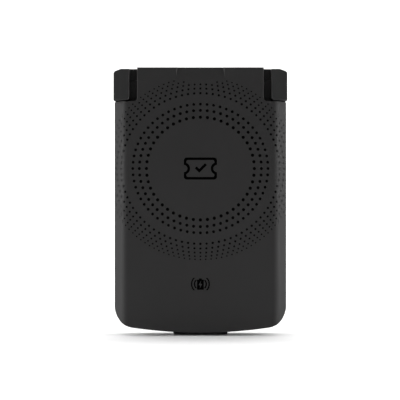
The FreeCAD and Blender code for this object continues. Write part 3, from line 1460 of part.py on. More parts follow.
def check_and_export():
    """Stops at the first failed object; otherwise writes every node."""
    for made in doc.Objects:
        if "Invalid" in made.State or "Error" in made.State:
            raise RuntimeError(f"{made.Label} did not recompute: {made.State}")
    os.makedirs("parts", exist_ok=True)
    nodes = [(label, find_node(label)) for label in NODES]
    for label, node in nodes:
        if node.Shape.isNull() or not node.Shape.isValid():
            raise RuntimeError(f"{label} has no valid shape")
    for label, node in nodes:
        node.Shape.exportStep(f"parts/{label}.step")
        print(f"{label}: {len(node.Shape.Solids)} solid(s), {node.Shape.Volume:.1f} mm3")


make_cover()
make_tray()
seal_strip("bay_seal", "0", f"{RIM} - seal_sunk + seal_height")
latch = make_latch()
spring = make_spring()
keeper = make_keeper()
mirrored("latch_left", latch)
mirrored("latch_spring_left", spring)
mirrored("latch_keeper_left", keeper)
make_keeper_screws()
make_tray_screws()
make_inserts()
make_cell()
make_cell_pads()
make_cell_wiring()
make_boards()
make_contacts()
make_charging()
make_label()
doc.recompute()
check_and_export()
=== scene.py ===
import json
import math
import bpy
import numpy as np
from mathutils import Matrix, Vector


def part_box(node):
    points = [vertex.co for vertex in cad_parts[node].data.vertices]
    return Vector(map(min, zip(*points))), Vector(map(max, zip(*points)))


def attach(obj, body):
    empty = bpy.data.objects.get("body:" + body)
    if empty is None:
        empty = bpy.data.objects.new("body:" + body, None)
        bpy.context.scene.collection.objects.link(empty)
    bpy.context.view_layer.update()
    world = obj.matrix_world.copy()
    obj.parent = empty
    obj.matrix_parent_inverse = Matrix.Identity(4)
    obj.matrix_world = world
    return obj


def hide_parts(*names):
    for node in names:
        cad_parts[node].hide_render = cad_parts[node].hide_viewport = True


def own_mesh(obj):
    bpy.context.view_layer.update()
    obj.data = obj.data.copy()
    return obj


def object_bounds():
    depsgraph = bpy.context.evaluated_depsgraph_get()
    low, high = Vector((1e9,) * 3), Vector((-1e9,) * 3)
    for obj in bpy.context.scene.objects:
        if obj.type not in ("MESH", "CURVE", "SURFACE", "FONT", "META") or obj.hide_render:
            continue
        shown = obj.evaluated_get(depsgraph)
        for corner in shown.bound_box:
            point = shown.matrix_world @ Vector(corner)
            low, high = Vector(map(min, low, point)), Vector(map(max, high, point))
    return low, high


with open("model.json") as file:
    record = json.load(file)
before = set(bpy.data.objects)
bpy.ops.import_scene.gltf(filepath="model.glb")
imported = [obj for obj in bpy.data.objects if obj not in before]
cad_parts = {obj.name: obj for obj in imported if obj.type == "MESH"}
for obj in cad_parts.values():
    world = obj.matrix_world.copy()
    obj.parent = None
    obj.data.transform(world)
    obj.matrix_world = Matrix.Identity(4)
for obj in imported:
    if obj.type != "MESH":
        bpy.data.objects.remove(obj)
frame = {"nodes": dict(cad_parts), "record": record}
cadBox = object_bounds()
nodes = frame["nodes"]
mm = 0.001
fullTurn = 2 * math.pi
coverLow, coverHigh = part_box("outer_cover")
print("frame loaded:", len(nodes), "CAD nodes")


# Shader helpers

def newMaterial(name, **sockets):
    # sockets are the shader's own constants, by name with _ for a space
    material = bpy.data.materials.new(name)
    material.use_nodes = True
    tree = material.node_tree
    tree.nodes.clear()
    output = tree.nodes.new("ShaderNodeOutputMaterial")
    shader = tree.nodes.new("ShaderNodeBsdfPrincipled")
    tree.links.new(shader.outputs["BSDF"], output.inputs["Surface"])
    for key, value in sockets.items():
        shader.inputs[key.replace("_", " ")].default_value = value
    return material, tree, shader.inputs


def feed(tree, socket, value):
    if isinstance(value, bpy.types.NodeSocket):
        tree.links.new(value, socket)
    else:
        socket.default_value = value


def add(tree, kind, inputs=None, **settings):
    # One node: settings are its own properties, inputs are values or sockets to link
    node = tree.nodes.new(kind)
    for key, value in settings.items():
        setattr(node, key, value)
    for key, value in (inputs or {}).items():
        feed(tree, node.inputs[key], value)
    return node


def calc(tree, operation, a, b=0.0, c=0.0):
    return add(tree, "ShaderNodeMath", {0: a, 1: b, 2: c}, operation=operation).outputs[0]


def ramp(tree, value, low, high):
    # 0 at low, 1 at high, smooth between; low may be the larger
    span = {"Value": value, "From Min": low, "From Max": high}
    return add(tree, "ShaderNodeMapRange", span, interpolation_type="SMOOTHSTEP").outputs["Result"]


def mixColours(tree, mask, a, b):
    node = add(tree, "ShaderNodeMix", None, data_type="RGBA")
    for index, value in zip((0, 6, 7), (mask, a, b)):
        feed(tree, node.inputs[index], value)
    return node.outputs[2]


def mixValues(tree, mask, a, b):
    return add(tree, "ShaderNodeMix", {0: mask, 2: a, 3: b}).outputs[0]


def objectPoint(tree):
    return add(tree, "ShaderNodeTexCoord").outputs["Object"]


def uvPoint(tree):
    return add(tree, "ShaderNodeTexCoord").outputs["UV"]


def axesOf(tree, point):
    return add(tree, "ShaderNodeSeparateXYZ", {0: point}).outputs


def noise(tree, point, scale, detail=2.0):
    return add(tree, "ShaderNodeTexNoise", {"Vector": point, "Scale": scale, "Detail": detail}).outputs["Fac"]


def voronoi(tree, point, scale, feature):
    inputs = {"Vector": point, "Scale": scale}
    return add(tree, "ShaderNodeTexVoronoi", inputs, feature=feature).outputs["Distance"]


def stretched(tree, point, scale, turn=(0.0, 0.0, 0.0)):
    return add(tree, "ShaderNodeMapping", {"Vector": point, "Scale": scale, "Rotation": turn}).outputs[0]


def bump(tree, height, strength=1.0):
    # height is in metres
    return add(tree, "ShaderNodeBump", {"Height": height, "Strength": strength, "Distance": 1.0}).outputs[0]


def grey(level):
    return (level, level, level, 1.0)


def shade(colour, factor):
    return tuple(min(1.0, part * factor) for part in colour[:3]) + (1.0,)


def newGroup(name, inputs, outputs):
    # inputs are (label, kind, default), outputs are (label, kind)
    group = bpy.data.node_groups.new(name, "ShaderNodeTree")
    for label, kind, default in inputs:
        socket = group.interface.new_socket(label, in_out="INPUT", socket_type="NodeSocket" + kind)
        if default is not None:
            socket.default_value = default
    for label, kind in outputs:
        group.interface.new_socket(label, in_out="OUTPUT", socket_type="NodeSocket" + kind)
    return group, add(group, "NodeGroupInput").outputs, add(group, "NodeGroupOutput").inputs


def place(tree, group, **inputs):
    node = add(tree, "ShaderNodeGroup", None, node_tree=group)
    for key, value in inputs.items():
        feed(tree, node.inputs[key.replace("_", " ")], value)
    return node.outputs


# Shared effects

def makeGrainGroup():
    # Spark-eroded mould texture: rounded cells with finer noise between them, as a height
    group, given, result = newGroup("mouldedGrain", [
        ("Point", "Vector", None),
        ("Cell Size", "Float", 0.25 * mm),
        ("Depth", "Float", 0.005 * mm),
    ], [("Height", "Float"), ("Speckle", "Float")])
    scaled = add(group, "ShaderNodeVectorMath", {0: given["Point"]}, operation="SCALE")
    feed(group, scaled.inputs["Scale"], calc(group, "DIVIDE", 1.0, given["Cell Size"]))
    fine = noise(group, scaled.outputs[0], 1.6, 3.0)
    cells = voronoi(group, scaled.outputs[0], 0.8, "SMOOTH_F1")
    mixed = calc(group, "MULTIPLY_ADD", fine, 0.5, cells)
    feed(group, result["Height"], calc(group, "MULTIPLY", mixed, given["Depth"]))
    feed(group, result["Speckle"], fine)
    return group


def makeHandlingGroup():
    # Gloss that hands and pockets change: broad clouds, and sparse fine scuffs along one way
    group, given, result = newGroup("handling", [
        ("Point", "Vector", None), ("Amount", "Float", 0.1),
    ], [("Gloss Shift", "Float"), ("Scuff", "Float")])
    clouds = calc(group, "SUBTRACT", noise(group, given["Point"], 40.0, 4.0), 0.5)
    along = stretched(group, given["Point"], (900.0, 900.0, 40.0), (0.0, 0.5, 0.0))
    scuffs = ramp(group, noise(group, along, 1.0), 0.70, 0.80)
    shift = calc(group, "MULTIPLY_ADD", scuffs, -0.4, clouds)
    feed(group, result["Gloss Shift"], calc(group, "MULTIPLY", shift, given["Amount"]))
    feed(group, result["Scuff"], scuffs)
    return group


def makeBrushedGroup():
    # Drawn or ground metal: long streaks across one axis, as a height and a gloss shift
    group, given, result = newGroup("brushed", [
        ("Point", "Vector", None),
        ("Stretch", "Vector", (400.0, 9000.0, 9000.0)),
        ("Depth", "Float", 0.001 * mm),
    ], [("Height", "Float"), ("Gloss Shift", "Float")])
    factors = {0: given["Point"], 1: given["Stretch"]}
    scaled = add(group, "ShaderNodeVectorMath", factors, operation="MULTIPLY")
    streaks = noise(group, scaled.outputs[0], 1.0, 3.0)
    feed(group, result["Height"], calc(group, "MULTIPLY", streaks, given["Depth"]))
    feed(group, result["Gloss Shift"], calc(group, "MULTIPLY_ADD", streaks, 0.3, -0.15))
    return group


def makeSkinGroup():
    # Depth of a point under the cover's skin: the flat face, then the blend towards the bevels
    group, given, result = newGroup("underSkin", [
        ("Point", "Vector", None),
        ("Face", "Float", 0.0),
        ("Blend Start", "Float", 0.0),
        ("Blend Radius", "Float", 1.0),
    ], [("Depth", "Float")])
    x, y, _ = axesOf(group, given["Point"])
    beyond = calc(group, "SUBTRACT", calc(group, "ABSOLUTE", x), given["Blend Start"])
    beyond = calc(group, "MAXIMUM", beyond, 0.0)
    radius = given["Blend Radius"]
    radiusSquared = calc(group, "MULTIPLY", radius, radius)
    rest = calc(group, "SUBTRACT", radiusSquared, calc(group, "MULTIPLY", beyond, beyond))
    drop = calc(group, "SUBTRACT", radius, calc(group, "SQRT", calc(group, "MAXIMUM", rest, 0.0)))
    feed(group, result["Depth"], calc(group, "SUBTRACT", calc(group, "SUBTRACT", y, given["Face"]), drop))
    return group


grainGroup = makeGrainGroup()
handlingGroup = makeHandlingGroup()
brushedGroup = makeBrushedGroup()
skinGroup = makeSkinGroup()
print("shader groups ready")


# Moulded plastics

coverLook = {
    "colour": (0.0155, 0.0150, 0.0152, 1.0),
    "roughness": 0.6,
    "grainCell": 0.2 * mm,
    "grainDepth": 0.004 * mm,
    "dimpleShadeColour": grey(0.0006),  # painted shade: near-black in the dimples and the charging symbol's recesses
    "dimpleShadeFrom": 0.05 * mm,  # below the skin
    "dimpleShadeTo": 0.36 * mm,
    "blendStart": 6.65 * mm,  # from the long side to where the flat face ends
    "blendRadius": 4.0 * mm,
    "fadeFrom": 5.0 * mm,  # the painted shade thins out from here to the bevel's edge
    "fadeTo": 4.2 * mm,
    "ringsDrop": 46.0 * mm,  # from the top edge to the rings' centre
    "ringsHalfWidth": 45.5 * mm,
    "ringsHalfHeight": 43.0 * mm,
    "chargeRise": 22.1 * mm,  # from the bottom to the charging symbol
    "chargeRadius": 5.6 * mm,
    "notchWidth": 11.3 * mm,  # with the rounded edges
    "notchHeight": 16.0 * mm,
    "scoopHalfWidth": 11.3 * mm,
    "scoopHeight": 6.0 * mm,
}


def makeDimpleShadeMask(tree, point):
    # Painted shade for the dimples: points a little under the skin, inside the rings' oval or round the
    # charging symbol, and clear of the rounded edges of notches and scoop, are painted near-black
    look = coverLook
    halfWidth = coverHigh.x
    depth = place(tree, skinGroup, Point=point, Face=coverLow.y, Blend_Start=halfWidth - look["blendStart"],
                  Blend_Radius=look["blendRadius"])["Depth"]
    sunk = calc(tree, "MULTIPLY", ramp(tree, depth, look["dimpleShadeFrom"] * 0.4, look["dimpleShadeFrom"]),
                ramp(tree, depth, look["dimpleShadeTo"] * 1.1, look["dimpleShadeTo"]))
    x, y, z = axesOf(tree, point)
    x = calc(tree, "ABSOLUTE", x)
    fade = ramp(tree, x, halfWidth - look["fadeTo"], halfWidth - look["fadeFrom"])
    across = calc(tree, "DIVIDE", x, look["ringsHalfWidth"])
    fromCentre = calc(tree, "SUBTRACT", z, coverHigh.z - look["ringsDrop"])
    up = calc(tree, "DIVIDE", fromCentre, look["ringsHalfHeight"])
    ovalSquared = calc(tree, "MULTIPLY_ADD", across, across, calc(tree, "MULTIPLY", up, up))
    oval = calc(tree, "LESS_THAN", ovalSquared, 1.0)
    fromSymbol = calc(tree, "SUBTRACT", z, coverLow.z + look["chargeRise"])
    squared = calc(tree, "MULTIPLY_ADD", fromSymbol, fromSymbol, calc(tree, "MULTIPLY", x, x))
    symbol = calc(tree, "LESS_THAN", squared, look["chargeRadius"] ** 2)
    inNotch = calc(tree, "MULTIPLY", calc(tree, "GREATER_THAN", x, halfWidth - look["notchWidth"]),
                   calc(tree, "GREATER_THAN", z, coverHigh.z - look["notchHeight"]))
    inScoop = calc(tree, "MULTIPLY", calc(tree, "LESS_THAN", x, look["scoopHalfWidth"]),
                   calc(tree, "GREATER_THAN", z, coverHigh.z - look["scoopHeight"]))
    clear = calc(tree, "SUBTRACT", 1.0, calc(tree, "MAXIMUM", inNotch, inScoop))
    zone = calc(tree, "MULTIPLY", calc(tree, "MAXIMUM", oval, symbol), clear)
    return calc(tree, "MULTIPLY", calc(tree, "MULTIPLY", sunk, fade), zone)


def makePlastic(name, look, specular=0.3, withDimpleShade=False):
    material, tree, shader = newMaterial(name, Specular_IOR_Level=specular)
    point = objectPoint(tree)
    grain = place(tree, grainGroup, Point=point, Cell_Size=look["grainCell"], Depth=look["grainDepth"])
    handled = place(tree, handlingGroup, Point=point, Amount=0.12)
    colour = mixColours(tree, grain["Speckle"], shade(look["colour"], 0.9), shade(look["colour"], 1.12))
    colour = mixColours(tree, handled["Scuff"], colour, shade(look["colour"], 1.25))
    roughness = calc(tree, "ADD", handled["Gloss Shift"], look["roughness"])
    if withDimpleShade:
        # painted shade: the dimples and the symbol's recesses turn near-black, and Metallic with that colour
        # takes their reflections away
        darkMarkMask = makeDimpleShadeMask(tree, point)
        colour = mixColours(tree, darkMarkMask, colour, look["dimpleShadeColour"])
        feed(tree, shader["Metallic"], darkMarkMask)
    feed(tree, shader["Base Color"], colour)
    feed(tree, shader["Roughness"], roughness)
    feed(tree, shader["Normal"], bump(tree, grain["Height"]))
    return material


trayLook = {"colour": grey(0.009), "roughness": 0.5, "grainCell": 0.3 * mm, "grainDepth": 0.006 * mm}
latchLook = {"colour": grey(0.0165), "roughness": 0.56, "grainCell": 0.16 * mm, "grainDepth": 0.003 * mm}
contactLook = {"colour": grey(0.012), "roughness": 0.42, "grainCell": 0.12 * mm, "grainDepth": 0.002 * mm}
chipLook = {"colour": grey(0.022), "roughness": 0.55, "grainCell": 0.08 * mm, "grainDepth": 0.002 * mm}


# Other finishes

def makeRubber():
    material, tree, shader = newMaterial("sealRubber", Specular_IOR_Level=0.25)
    point = objectPoint(tree)
    bloom = noise(tree, point, 300.0, 4.0)
    feed(tree, shader["Base Color"], mixColours(tree, bloom, grey(0.016), grey(0.032)))
    feed(tree, shader["Roughness"], calc(tree, "MULTIPLY_ADD", bloom, 0.2, 0.6))
    feed(tree, shader["Normal"], bump(tree, calc(tree, "MULTIPLY", noise(tree, point, 4000.0), 0.01 * mm)))
    return material


def makeMetal(name, colour, roughness, stretch=(400.0, 9000.0, 9000.0), depth=0.001 * mm):
    material, tree, shader = newMaterial(name)
    point = objectPoint(tree)
    streaks = place(tree, brushedGroup, Point=point, Stretch=stretch, Depth=depth)
    tarnish = ramp(tree, noise(tree, point, 500.0, 4.0), 0.45, 0.75)
    feed(tree, shader["Base Color"], mixColours(tree, tarnish, colour, shade(colour, 0.8)))
    feed(tree, shader["Roughness"], calc(tree, "ADD", streaks["Gloss Shift"], roughness))
    feed(tree, shader["Metallic"], calc(tree, "MULTIPLY_ADD", tarnish, -0.08, 1.0))
    feed(tree, shader["Normal"], bump(tree, streaks["Height"]))
    return material


def makeKnurledBrass():
    # Diamond knurl: two waves that lean opposite ways round each insert, worked out from x, z and y
    material, tree, shader = newMaterial("insertBrass", Metallic=1.0)
    point = objectPoint(tree)
    x, y, z = axesOf(tree, point)
    ridges = []
    for lean in (1.0, -1.0):
        phase = calc(tree, "MULTIPLY_ADD", y, lean, calc(tree, "ADD", x, z))
        ridges.append(calc(tree, "SINE", calc(tree, "MULTIPLY", phase, fullTurn / (0.4 * mm))))
    knurl = calc(tree, "MAXIMUM", ridges[0], ridges[1])
    # painted shade: dark brass in the knurl's valleys, bright brass on its crests
    crest = ramp(tree, knurl, -0.6, 0.8)
    feed(tree, shader["Base Color"], mixColours(tree, crest, (0.35, 0.2, 0.06, 1), (0.72, 0.5, 0.2, 1)))
    feed(tree, shader["Roughness"], calc(tree, "MULTIPLY_ADD", knurl, -0.08, 0.38))
    feed(tree, shader["Normal"], bump(tree, calc(tree, "MULTIPLY", knurl, 0.03 * mm), 0.7))
    return material


def makePouch():
    # Aluminium laminate: satin silver with a fine embossed net and soft dents
    material, tree, shader = newMaterial("pouchLaminate")
    point = objectPoint(tree)
    dents = noise(tree, point, 120.0, 3.0)
    net = voronoi(tree, point, 2500.0, "DISTANCE_TO_EDGE")
    height = calc(tree, "MULTIPLY_ADD", dents, 0.12 * mm, calc(tree, "MULTIPLY", net, 0.01 * mm))
    feed(tree, shader["Base Color"], mixColours(tree, dents, (0.55, 0.56, 0.58, 1), (0.70, 0.71, 0.73, 1)))
    feed(tree, shader["Roughness"], calc(tree, "MULTIPLY_ADD", dents, 0.2, 0.26))
    feed(tree, shader["Metallic"], calc(tree, "MULTIPLY_ADD", dents, -0.1, 0.95))
    feed(tree, shader["Normal"], bump(tree, height))
    return material


def makeFoam():
    material, tree, shader = newMaterial("foam", Specular_IOR_Level=0.15)
    point = objectPoint(tree)
    pores = voronoi(tree, point, 2200.0, "SMOOTH_F1")
    # painted shade: darker where the surface sinks between the rounded cells
    feed(tree, shader["Base Color"], mixColours(tree, ramp(tree, pores, 0.15, 0.6), grey(0.05), grey(0.014)))
    feed(tree, shader["Roughness"], calc(tree, "MULTIPLY_ADD", pores, -0.1, 0.95))
    feed(tree, shader["Normal"], bump(tree, calc(tree, "MULTIPLY", pores, -0.06 * mm)))
    return material


def makeFilm(name, colour, roughness):
    # Thin film: slow waves where it lifts, faint rolling lines
    material, tree, shader = newMaterial(name, Specular_IOR_Level=0.5)
    point = objectPoint(tree)
    waves = noise(tree, point, 90.0, 2.0)
    lines = noise(tree, stretched(tree, point, (2500.0, 2500.0, 60.0)), 1.0)
    feed(tree, shader["Base Color"], mixColours(tree, waves, shade(colour, 0.85), shade(colour, 1.12)))
    feed(tree, shader["Roughness"], calc(tree, "MULTIPLY_ADD", lines, 0.15, roughness))
    feed(tree, shader["Normal"], bump(tree, calc(tree, "MULTIPLY", waves, 0.15 * mm)))
    return material


def makeBoardLaminate():
    # Solder mask: dark green with tracks and the glass weave under it
    material, tree, shader = newMaterial("boardLaminate", Specular_IOR_Level=0.5)
    point = objectPoint(tree)
    blocks = {0: point, 1: (0.9 * mm, 1.0, 0.7 * mm)}
    snapped = add(tree, "ShaderNodeVectorMath", blocks, operation="SNAP").outputs[0]
    cell = add(tree, "ShaderNodeTexWhiteNoise", {"Vector": snapped}).outputs["Value"]
    x, y, z = axesOf(tree, point)
    waveX = calc(tree, "SINE", calc(tree, "MULTIPLY", x, fullTurn / (0.45 * mm)))
    waveZ = calc(tree, "SINE", calc(tree, "MULTIPLY", z, fullTurn / (0.35 * mm)))
    trackX = calc(tree, "MULTIPLY", ramp(tree, waveZ, 0.1, 0.3), calc(tree, "GREATER_THAN", cell, 0.45))
    trackZ = calc(tree, "MULTIPLY", ramp(tree, waveX, 0.3, 0.5), calc(tree, "LESS_THAN", cell, 0.35))
    track = calc(tree, "MAXIMUM", trackX, trackZ)
    weave = calc(tree, "MULTIPLY", waveX, waveZ)
    feed(tree, shader["Base Color"], mixColours(tree, track, (0.008, 0.045, 0.022, 1), (0.02, 0.12, 0.05, 1)))
    feed(tree, shader["Roughness"], calc(tree, "MULTIPLY_ADD", weave, 0.03, 0.32))
    height = calc(tree, "MULTIPLY_ADD", track, 0.02 * mm, calc(tree, "MULTIPLY", weave, 0.001 * mm))
    feed(tree, shader["Normal"], bump(tree, height))
    return material


def makeEpoxy():
    material, tree, shader = newMaterial("beadEpoxy", Specular_IOR_Level=0.5)
    clouds = noise(tree, objectPoint(tree), 900.0, 3.0)
    feed(tree, shader["Base Color"], mixColours(tree, clouds, grey(0.03), (0.07, 0.05, 0.04, 1)))
    feed(tree, shader["Roughness"], calc(tree, "MULTIPLY_ADD", clouds, 0.15, 0.15))
    feed(tree, shader["Normal"], bump(tree, calc(tree, "MULTIPLY", clouds, 0.05 * mm)))
    return material


def makeFerrite():
    # Sintered tiles under a film: dark grey, with fine cracks
    material, tree, shader = newMaterial("ferriteSheet", Specular_IOR_Level=0.4)
    point = objectPoint(tree)
    cracks = voronoi(tree, point, 420.0, "DISTANCE_TO_EDGE")
    crack = ramp(tree, cracks, 0.05, 0.02)
    # painted shade: darker along the sunk cracks
    feed(tree, shader["Base Color"], mixColours(tree, crack, grey(0.035), grey(0.015)))
    feed(tree, shader["Roughness"], calc(tree, "MULTIPLY_ADD", noise(tree, point, 800.0), 0.2, 0.4))
    feed(tree, shader["Normal"], bump(tree, calc(tree, "MULTIPLY", crack, -0.02 * mm)))
    return material


brightCopper = (0.72, 0.3, 0.13, 1)


def makeWoundCopper():
    # Bundled enamelled strands: stripes that lean across the wire's own UV, u in metres along it
    material, tree, shader = newMaterial("coilCopper", Coat_Weight=0.3, Coat_Roughness=0.15)
    u, v, _ = axesOf(tree, uvPoint(tree))
    turns = calc(tree, "MULTIPLY_ADD", u, 420.0, calc(tree, "MULTIPLY", v, 6.0))
    strand = calc(tree, "SINE", calc(tree, "MULTIPLY", turns, fullTurn))
    # painted shade: dark brown in the creases between the strands, copper on their crowns
    crown = ramp(tree, strand, -1.0, 0.6)
    feed(tree, shader["Base Color"], mixColours(tree, crown, (0.28, 0.09, 0.03, 1), brightCopper))
    feed(tree, shader["Roughness"], calc(tree, "MULTIPLY_ADD", strand, -0.06, 0.34))
    feed(tree, shader["Metallic"], calc(tree, "MULTIPLY_ADD", strand, 0.05, 0.9))
    feed(tree, shader["Normal"], bump(tree, calc(tree, "MULTIPLY", strand, 0.02 * mm)))
    return material


labelLook = {
    "base": (0.5, 0.51, 0.52, 1),
    "print": grey(0.06),
    "rowPitch": 4.2 * mm,
    "rowHeight": 0.35,
    "margin": 5.0 * mm,
}


def makeLabelFilm():
    # Printed film with plain grey bars in place of words
    low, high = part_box("rating_label")
    look = labelLook
    material, tree, shader = newMaterial("labelFilm", Specular_IOR_Level=0.5)
    point = objectPoint(tree)
    x, y, z = axesOf(tree, point)
    row = calc(tree, "DIVIDE", calc(tree, "SUBTRACT", z, low.z + 0.5 * look["margin"]), look["rowPitch"])
    inRow = calc(tree, "LESS_THAN", calc(tree, "FRACT", row), look["rowHeight"])
    rowNumber = {"W": calc(tree, "FLOOR", row)}
    length = add(tree, "ShaderNodeTexWhiteNoise", rowNumber, noise_dimensions="1D").outputs["Value"]
    margin = look["margin"]
    barEnd = calc(tree, "MULTIPLY_ADD", length, 0.6 * (high.x - low.x - 2 * margin), low.x + 2 * margin)
    pastStart = calc(tree, "GREATER_THAN", x, low.x + margin)
    inBar = calc(tree, "MULTIPLY", pastStart, calc(tree, "LESS_THAN", x, barEnd))
    belowTop = calc(tree, "LESS_THAN", z, high.z - 0.6 * margin)
    inside = calc(tree, "MULTIPLY", calc(tree, "GREATER_THAN", row, 0.0), belowTop)
    darkMarkMask = calc(tree, "MULTIPLY", calc(tree, "MULTIPLY", inRow, inBar), inside)
    fibre = noise(tree, point, 1500.0, 3.0)
    paper = mixColours(tree, fibre, look["base"], shade(look["base"], 1.1))
    feed(tree, shader["Base Color"], mixColours(tree, darkMarkMask, paper, look["print"]))
    feed(tree, shader["Roughness"], calc(tree, "MULTIPLY_ADD", fibre, 0.1, 0.33))
    feed(tree, shader["Normal"], bump(tree, calc(tree, "MULTIPLY", fibre, 0.004 * mm)))
    return material


steel = (0.55, 0.55, 0.56, 1)
finishes = {
    "cover_plastic": makePlastic("coverPlastic", coverLook, withDimpleShade=True),
    "tray_plastic": makePlastic("trayPlastic", trayLook),
    "latch_plastic": makePlastic("latchPlastic", latchLook),
    "contact_plastic": makePlastic("contactPlastic", contactLook, specular=0.4),
    "chip_plastic": makePlastic("chipPlastic", chipLook, specular=0.4),
    "seal_rubber": makeRubber(),
    "spring_steel": makeMetal("springSteel", steel, 0.26, (3000.0, 3000.0, 3000.0)),
    "plate_steel": makeMetal("plateSteel", steel, 0.34),
    "screw_steel": makeMetal("screwSteel", shade(steel, 0.35), 0.36, (6000.0, 800.0, 6000.0)),
    "insert_brass": makeKnurledBrass(),
    "cell_pouch": makePouch(),
    "strip_nickel": makeMetal("stripNickel", (0.62, 0.6, 0.55, 1), 0.3, (9000.0, 9000.0, 300.0)),
    "foam": makeFoam(),
    "insulating_film": makeFilm("insulatingFilm", (0.5, 0.2, 0.03, 1), 0.2),
    "board_laminate": makeBoardLaminate(),
    "bead_epoxy": makeEpoxy(),
    "contact_gold": makeMetal("contactGold", (0.85, 0.6, 0.24, 1), 0.24, (300.0, 300.0, 8000.0)),
    "coil_copper": makeWoundCopper(),
    "ferrite": makeFerrite(),
    "label_film": makeLabelFilm(),
}
leadCopper = makeMetal("leadCopper", brightCopper, 0.35, (3000.0, 3000.0, 500.0))
print("finishes ready:", len(finishes))


def dressNodes():
    # Each CAD node takes the finish of its slot in the record
    slots = {part["node"]: part["material_slot"] for part in frame["record"]["subparts"]}
    for name, node in nodes.items():
        material = leadCopper if name == "coil_leads" else finishes[slots[name]]
        node.data.materials.clear()
        node.data.materials.append(material)
    return slots


slots = dressNodes()


# New pieces: surfaces worked out as arrays

meshDetail = {"slabColumns": 160, "arcRows": 7, "faceRows": 8, "tubeSides": 10}


def closedSurface(rings, firstPole, lastPole):
    # rings is rows by columns by 3, closed round each row; a fan of triangles closes each end
    rows, columns = rings.shape[:2]
    i, j = np.meshgrid(np.arange(rows - 1), np.arange(columns), indexing="ij")
    k = (j + 1) % columns
    quads = np.stack([i * columns + j, (i + 1) * columns + j, (i + 1) * columns + k, i * columns + k], -1)
    j = np.arange(columns)
    k = (j + 1) % columns
    first = np.stack([np.full(columns, rows * columns), j, k], -1)
    lastRow = (rows - 1) * columns
    last = np.stack([np.full(columns, rows * columns + 1), k + lastRow, j + lastRow], -1)
    vertices = np.concatenate([rings.reshape(-1, 3), [firstPole], [lastPole]])
    return vertices, quads.reshape(-1, 4).tolist() + first.tolist() + last.tolist()


def sweepTube(path, halfWide, halfHigh, upAxis):
    # An oval section carried along a path: halfWide along tangent x upAxis, halfHigh along upAxis.
    # Returns the shell, and each vertex's (u, v): metres along the path, and 0 to 1 and back round it.
    sides = meshDetail["tubeSides"]
    tangent = np.gradient(path, axis=0)
    tangent /= np.linalg.norm(tangent, axis=1, keepdims=True)
    across = np.cross(tangent, upAxis)
    across /= np.linalg.norm(across, axis=1, keepdims=True)
    up = np.cross(across, tangent)
    turn = np.linspace(0, fullTurn, sides, endpoint=False)[None, :, None]
    rings = path[:, None] + halfWide * np.cos(turn) * across[:, None] + halfHigh * np.sin(turn) * up[:, None]
    along = np.concatenate([[0], np.cumsum(np.linalg.norm(np.diff(path, axis=0), axis=1))])
    around = np.abs(np.linspace(-1, 1, sides, endpoint=False))
    grid = np.stack([np.repeat(along, sides), np.tile(around, len(path))], -1)
    return closedSurface(rings, path[0], path[-1]), np.concatenate([grid, [(along[0], 0), (along[-1], 0)]])


def roundedSlab(low, high, power, profile):
    # A superelliptic outline in x and z, |x/a|^power + |z/c|^power = 1, carried over a profile of
    # (inset, y) rows that runs from the outer face round the edge to the inner face
    middle = [(low[axis] + high[axis]) / 2 for axis in range(3)]
    a = (high[0] - low[0]) / 2
    c = (high[2] - low[2]) / 2
    turn = np.linspace(0, fullTurn, meshDetail["slabColumns"], endpoint=False)
    outlineX = np.sign(np.cos(turn)) * np.abs(np.cos(turn)) ** (2 / power)
    outlineZ = np.sign(np.sin(turn)) * np.abs(np.sin(turn)) ** (2 / power)
    inset = profile[:, :1]
    y = middle[1] + profile[:, 1:]
    x = middle[0] + (a - inset) * outlineX
    z = middle[2] + (c - inset) * outlineZ
    rings = np.stack([x, np.broadcast_to(y, x.shape), z], -1)
    return closedSurface(rings, (middle[0], y[0, 0], middle[2]), (middle[0], y[-1, 0], middle[2]))


def edgeProfile(halfThick, edgeRadius, crown, deep):
    # Rows of (inset, y): a face that rises to its crown over deep, a quarter round, and both mirrored
    turn = np.linspace(0, math.pi / 2, meshDetail["arcRows"])
    rise = edgeRadius * (1 - np.cos(turn))
    arc = np.stack([edgeRadius * (1 - np.sin(turn)), rise - (halfThick - crown)], -1)
    insets = np.linspace(deep, edgeRadius, meshDetail["faceRows"], endpoint=False)
    face = np.stack([insets, -halfThick + crown * (1 - (insets - edgeRadius) / (deep - edgeRadius)) ** 2], -1)
    half = np.concatenate([face, arc])
    return np.concatenate([half, half[::-1] * (1, -1)])


def joinShells(*shells):
    # Several closed surfaces in one mesh
    vertices = []
    faces = []
    start = 0
    for points, corners in shells:
        vertices.append(points)
        faces += [[corner + start for corner in face] for face in corners]
        start += len(points)
    return np.concatenate(vertices), faces


def addPiece(name, node, shell, body, places=None):
    # places holds each vertex's own (u, v)
    vertices, faces = shell
    mesh = bpy.data.meshes.new(name)
    mesh.from_pydata(vertices, [], faces)
    mesh.polygons.foreach_set("use_smooth", np.ones(len(faces), bool))
    mesh.materials.append(finishes[slots[node]])
    if places is not None:
        corners = np.zeros(len(mesh.loops), np.int32)
        mesh.loops.foreach_get("vertex_index", corners)
        mesh.uv_layers.new(name="along").uv.foreach_set("vector", places[corners].ravel())
    piece = bpy.data.objects.new(name, mesh)
    bpy.context.collection.objects.link(piece)
    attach(piece, body)
    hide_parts(node)
    return piece


springLook = {
    "wire": 0.35 * mm,
    "turns": 8.0,
    "closedTurns": 1.1,
    "closedPitch": 1.1,  # in wire widths
    "perTurn": 28,
    "travel": 3.0 * mm,
}


